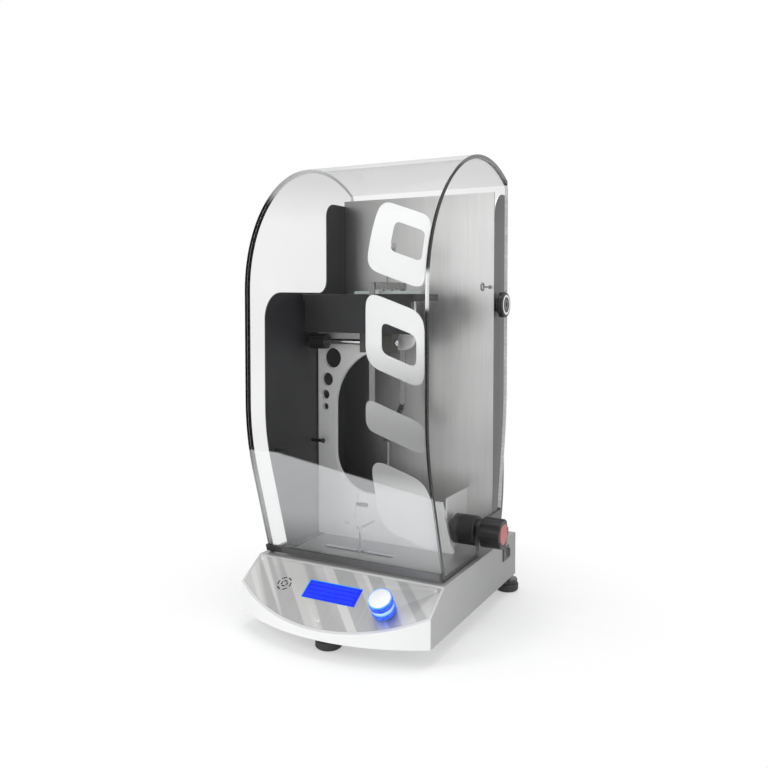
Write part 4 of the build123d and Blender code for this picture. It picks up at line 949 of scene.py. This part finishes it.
def sawn_edge(name, stops):
    # Stops are (height share, grey) pairs of painted reflection and shade: what the cut edge shows of
    # the room as it bends.
    finish, tree, shader = blank_finish(name)
    height = spread(tree, place_value(tree, "Z"), 0, 1, 0.1, 0.77)
    room = ramp_colour(tree, height, [(spot, (tone, tone, tone * 1.02)) for spot, tone in stops])
    saw = noise_value(tree, 1.0, (40, 300, 300), 3)
    feed(shader, {
        "Base Color": blend_colours(tree, spread(tree, saw, 0, 0.06), room, grey(0.3)),
        "Specular IOR Level": 0.15,
        "Roughness": spread(tree, saw, 0.25, 0.4),
    })
    return finish


def rear_edge_painted_light():
    # Painted light: the rear cut edges are painted pale.
    finish, tree, shader = blank_finish("sheet edge painted light")
    saw = noise_value(tree, 1.0, (40, 300, 300), 3)
    tone = blend_colours(tree, spread(tree, saw), (0.62, 0.63, 0.63), (0.80, 0.81, 0.81))
    feed(shader, {"Base Color": tone, "Roughness": spread(tree, saw, 0.15, 0.3)})
    return finish


def open_joint(mesh):
    # Draws the side's curved edge back a hair, so that it doesn't lie in the bent sheet's face.
    shell = bmesh.new()
    shell.from_mesh(mesh)
    shell.normal_update()
    moves = {}
    for face in shell.faces:
        n = face.normal
        on_top = n.z > 0.1 and face.calc_center_median().z > top_corner_height
        if abs(n.x) < 0.5 and (n.y < -0.25 or on_top):
            for corner in face.verts:
                moves[corner] = moves.get(corner, Vector()) + n
    for corner, push in moves.items():
        corner.co -= push.normalized() * hood_joint_gap
    shell.to_mesh(mesh)
    shell.free()
    shade(mesh)


def is_rear_edge(c, n):
    return abs(n.x) < 0.5 and n.y > 0.8 and c.z > painted_light_edge_height


hood_clear = clear_sheet("clear acrylic")
hood_rear_edge_painted_light = rear_edge_painted_light()
edges = {
    "left": sawn_edge("polished left sheet edge", left_edge_painted_light_stops),
    "right": sawn_edge("polished sheet edge", right_edge_painted_light_stops),
}
arch = machined("hood_arch", "hood_sheet", clear_sheet("clear front acrylic", hood_painted_reflection_share), 0)
paint_where(arch, edges["right"], lambda c, n: n.x > 0.9)
paint_where(arch, edges["left"], lambda c, n: n.x < -0.9)
for side in ("left", "right"):
    panel = machined(f"hood_{side}_side", f"hood_{side}_panel", hood_clear, 0)
    open_joint(panel.data)
    paint_where(panel, edges[side], lambda c, n: abs(n.x) < 0.5)
    paint_where(panel, hood_rear_edge_painted_light, is_rear_edge)

# Frosted pattern: white film on the inside of the front sheet, near its right edge. It is a plain
# stack of leaning rounded bars, two of them with a window, cut from one roll of film.
hood_sheet_depth = 6
film_depth = 0.25
film_step = 4
film_left, film_right = 58, 155
film_slant = 34
front_y, arc_radius, arc_rise = 3, 225, 544.5
lean_angle = math.radians(17)
bend_radius = 400
lean_turn = deck_top + 205
bend_run = bend_radius * math.tan(lean_angle / 2)


def hood_front(z):
    # The outer front's depth at a height, up to where the top bend is well under way.
    if z >= arc_rise:
        rise = min(z - arc_rise, arc_radius * 0.98)
        return front_y + arc_radius - math.sqrt(arc_radius ** 2 - rise ** 2)
    if z >= lean_turn + bend_run:
        return front_y
    low = lean_turn - bend_run * math.cos(lean_angle)
    if z <= low:
        return front_y + (lean_turn - z) * math.tan(lean_angle)
    drop = lean_turn + bend_run - z
    return front_y + bend_radius - math.sqrt(max(0, bend_radius ** 2 - drop ** 2))


def rounded_loop(corners, radius, steps=6):
    # Corners in order, each swapped for a short arc.
    loop = []
    count = len(corners)
    for i in range(count):
        here = Vector(corners[i])
        before = Vector(corners[i - 1]) - here
        after = Vector(corners[(i + 1) % count]) - here
        reach = min(radius, before.length * 0.45, after.length * 0.45)
        a = here + before.normalized() * reach
        b = here + after.normalized() * reach
        for k in range(steps + 1):
            t = k / steps
            p = a * (1 - t) ** 2 + here * 2 * t * (1 - t) + b * t ** 2
            loop.append((p.x, p.y))
    return loop


def film_mesh(name, outline, windows=()):
    # Flat film drawn as (x, height), filled, cut into short strips and laid on the curved sheet.
    shape = bpy.data.curves.new(name, "CURVE")
    shape.dimensions = "2D"
    shape.fill_mode = "BOTH"
    for loop in (outline, *windows):
        spline = shape.splines.new("POLY")
        spline.points.add(len(loop) - 1)
        for point, (x, z) in zip(spline.points, loop):
            point.co = (x, z, 0, 1)
        spline.use_cyclic_u = True
    mesh = settled_mesh(put_in_scene(shape, name))
    flat = bmesh.new()
    flat.from_mesh(mesh)
    bmesh.ops.remove_doubles(flat, verts=flat.verts, dist=1e-4)
    z = min(v.co.y for v in flat.verts) + film_step
    high = max(v.co.y for v in flat.verts)
    while z < high:
        everything = flat.verts[:] + flat.edges[:] + flat.faces[:]
        bmesh.ops.bisect_plane(flat, geom=everything, plane_co=(0, z, 0), plane_no=(0, 1, 0))
        z += film_step
    lift = hood_sheet_depth + film_depth
    for v in flat.verts:
        x, height = v.co.x, v.co.y
        ahead = hood_front(height + 0.5) - hood_front(height - 0.5)
        normal = Vector((0, 1, -ahead)).normalized()
        v.co = at(x, hood_front(height) + normal.y * lift, height + normal.z * lift)
    flat.to_mesh(mesh)
    flat.free()
    return mesh


def bar(low, high, left=film_left, right=film_right, radius=16):
    fall = film_slant * (right - left) / (film_right - film_left)
    return rounded_loop([(left, low + fall), (right, low), (right, high), (left, high + fall)], radius)


def grey_ramp(tree, value, stops):
    return ramp_colour(tree, value, [(spot, grey(tone)) for spot, tone in stops])


def frosted_film():
    finish, tree, shader = blank_finish("frosted white film")
    frost = noise_value(tree, 1600, detail=2)
    broad = noise_value(tree, 4, detail=1)
    height = spread(tree, place_value(tree, "Z"), 0, 1, 0.13, 0.68)
    # Painted light and shade by height: the film is painted darker at its lower middle and paler toward
    # the top.
    lit = grey_ramp(tree, height, (
        (0.0, 0.62), (0.20, 0.62), (0.26, 0.30), (0.36, 0.26), (0.50, 0.40), (0.62, 0.74), (1.0, 0.82),
    ))
    feed(shader, {
        "Base Color": blend_colours(tree, spread(tree, broad, 0, 0.08), lit, grey(0.9)),
        "Roughness": spread(tree, frost, 0.5, 0.7),
        "Alpha": 0.93,
    })
    dent(tree, shader, frost, 0.00001, 0.3)
    return finish


upper_window = bar(588, 634, film_left + 36, film_right - 7, 10)
middle_window = bar(434, 480, film_left + 27, film_right - 13, 12)
film_parts = [
    film_mesh("film bar one", bar(546, 656, radius=22), (upper_window,)),
    film_mesh("film bar two", bar(402, 512, radius=26), (middle_window,)),
    film_mesh("film bar three", bar(304, 352)),
    film_mesh("film bar four", bar(146, 262, film_left + 4, film_right, 30)),
]
film = put_in_scene(joined("frosted_film", film_parts), "frosted_film")
film.data.materials.append(frosted_film())
skin = film.modifiers.new("film thickness", "SOLIDIFY")
skin.thickness = 0.00012
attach(film, "hood")

# Hood seals: black rubber strips, a tall one along the bottom of the front sheet and thin ones
# under the sides, glued on so that no draught reaches the pendulum.


def strip_finish():
    # Painted light and shade: dark at the hood's corners, painted greyer toward the right, where the
    # strip catches the light.
    finish, tree, shader = blank_finish("seal strip")
    painted_light_across = spread(tree, place_value(tree, "X"), 0, 1, -0.157, 0.157)
    lit = grey_ramp(tree, painted_light_across, (
        (0.0, 0.004), (0.04, 0.02), (0.06, 0.06), (0.35, 0.06), (0.90, 0.15), (0.965, 0.14),
        (0.985, 0.004),
    ))
    grain = noise_value(tree, 600)
    feed(shader, {
        "Base Color": blend_colours(tree, spread(tree, grain, 0, 0.1), lit, grey(0.1)),
        "Roughness": spread(tree, grain, 0.45, 0.6),
    })
    dent(tree, shader, grain, 0.00002, 0.3)
    return finish


seal_rubber = strip_finish()
machined("hood_front_seal", "front_strip", seal_rubber, 0.0005)
machined("hood_side_seals", "side_strips", seal_rubber, 0.0005)

# Pivots: thick black discs through the hood's sides, each with a bright washer face and a dark
# socket bolt, and a small nut inside the column's flange.
pivot_line = at(0, 307, 523)
washer_out = 172.02
washer_profile = [(13.6, 0), (17.2, 0), (17.4, 0.15), (17.2, 0.3), (13.8, 0.3), (13.6, 0.15)]
pin_core = 0.0045
pin_relief = 0.00015
washer_bright = turned_metal("bright washer", (0.66, 0.66, 0.67), grey(0.85), 0.2, 900)
machined("hood_hubs", "pivot_discs", grip_black, 0.0005, 3)
for side, sign in (("left", -1), ("right", 1)):
    ring_mesh = lathe(f"pivot_washer_{side}", washer_profile, 72, True)
    outward = Matrix.Rotation(sign * math.pi / 2, 4, "Y")
    ring_mesh.transform(Matrix.Translation(at(sign * washer_out, 307, 523)) @ outward)
    ring = put_in_scene(ring_mesh, f"pivot_washer_{side}")
    ring.data.materials.append(washer_bright)
    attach(ring, "hood")
blackened = moulded("blackened steel", (0.05, 0.05, 0.052), 0.3)
pins = machined("pivot_pins", "pivot_bolts", blackened, 0.0003)
for corner in pins.data.vertices:
    out = Vector((0, corner.co.y - pivot_line.y, corner.co.z - pivot_line.z))
    if out.length > pin_core:
        corner.co -= out.normalized() * pin_relief
machined("pivot_nuts", "pivot_bolt_nuts", screw_steel, 0.0003)

# Studio: a pale floor that fades to white away from the object, soft lamps and a white surround.
# The camera stands front right at the photograph's height and angle.
floor_reach = 14


def seen_rays(tree):
    path = new_node(tree, "ShaderNodeLightPath").outputs
    first = maths(tree, "ADD", path["Is Camera Ray"], path["Is Glossy Ray"])
    ends = {0: first, 1: path["Is Transmission Ray"]}
    return new_node(tree, "ShaderNodeMath", ends, operation="ADD", use_clamp=True).outputs[0]


def floor_finish():
    finish, tree, shader = blank_finish("pale studio floor")
    fleck = spread(tree, noise_value(tree, 30, detail=2))
    feed(shader, {"Base Color": blend_colours(tree, fleck, grey(0.93), grey(0.95)), "Roughness": 0.8})
    where = new_node(tree, "ShaderNodeTexCoord").outputs["Object"]
    far = new_node(tree, "ShaderNodeVectorMath", {0: where}, operation="LENGTH").outputs["Value"]
    fade = maths(tree, "MULTIPLY", spread(tree, far, 0.40, 1, 0.24, 0.50), seen_rays(tree))
    white = new_node(tree, "ShaderNodeEmission")
    layers = {0: fade, 1: shader.outputs[0], 2: white.outputs[0]}
    mix = new_node(tree, "ShaderNodeMixShader", layers)
    feed(tree.nodes["Material Output"], {"Surface": mix.outputs[0]})
    return finish


floor_corners = [(x * floor_reach, y * floor_reach, 0) for x, y in ((-1, -1), (1, -1), (1, 1), (-1, 1))]
floor_mesh = bpy.data.meshes.new("studio_floor")
floor_mesh.from_pydata(floor_corners, [], [(0, 1, 2, 3)])
floor = put_in_scene(floor_mesh, "studio_floor")
floor.data.materials.append(floor_finish())

world = bpy.data.worlds.new("white surround")
bpy.context.scene.world = world
world.use_nodes = True
sky = world.node_tree
soft = sky.nodes["Background"]
feed(soft, {"Color": (0.97, 0.98, 1.0), "Strength": 0.5})
bright = new_node(sky, "ShaderNodeBackground", {"Color": (1, 1, 1), "Strength": 1.0})
layers = {0: seen_rays(sky), 1: soft.outputs[0], 2: bright.outputs[0]}
choose = new_node(sky, "ShaderNodeMixShader", layers)
feed(sky.nodes["World Output"], {"Surface": choose.outputs[0]})


def lamp(name, place, target, size, power, glossy=True):
    light = bpy.data.lights.new(name, "AREA")
    light.shape = "RECTANGLE"
    light.size, light.size_y = size
    light.energy = power
    holder = put_in_scene(light, name)
    holder.location = place
    holder.rotation_euler = (Vector(target) - Vector(place)).to_track_quat("-Z", "Y").to_euler()
    holder.visible_glossy = glossy


lamp("front left softbox", (-1.5, -2.0, 1.9), (0, 0, 0.3), (1.4, 1.4), 32, False)
lamp("low front softbox", (0.25, -2.3, 0.55), (0, 0, 0.33), (1.2, 0.9), 16, False)
lamp("top softbox", (0.1, 0.2, 2.6), (0, 0, 0.3), (1.8, 1.8), 26)
lamp("right fill", (2.2, -1.0, 1.0), (0, 0, 0.35), (1.2, 1.6), 10)

picture_width = 768
focal_pixels = 803.99
shift_pixels = -51.1
view_yaw = math.radians(28.23)
view_pitch = math.radians(-2.48)
eye_lens = bpy.data.cameras.new("photograph view")
eye_lens.sensor_width = 36
eye_lens.lens = focal_pixels / picture_width * 36
eye_lens.shift_y = shift_pixels / picture_width
eye_lens.clip_start, eye_lens.clip_end = 0.01, 60
camera = put_in_scene(eye_lens, "photograph view")
camera.location = at(648.44, -1032.60, 506.75 + 28)
level = math.cos(view_pitch)
ahead = Vector((-math.sin(view_yaw) * level, math.cos(view_yaw) * level, math.sin(view_pitch)))
camera.rotation_euler = ahead.to_track_quat("-Z", "Y").to_euler()
bpy.context.scene.camera = camera
bpy.context.scene.view_settings.view_transform = "Standard"
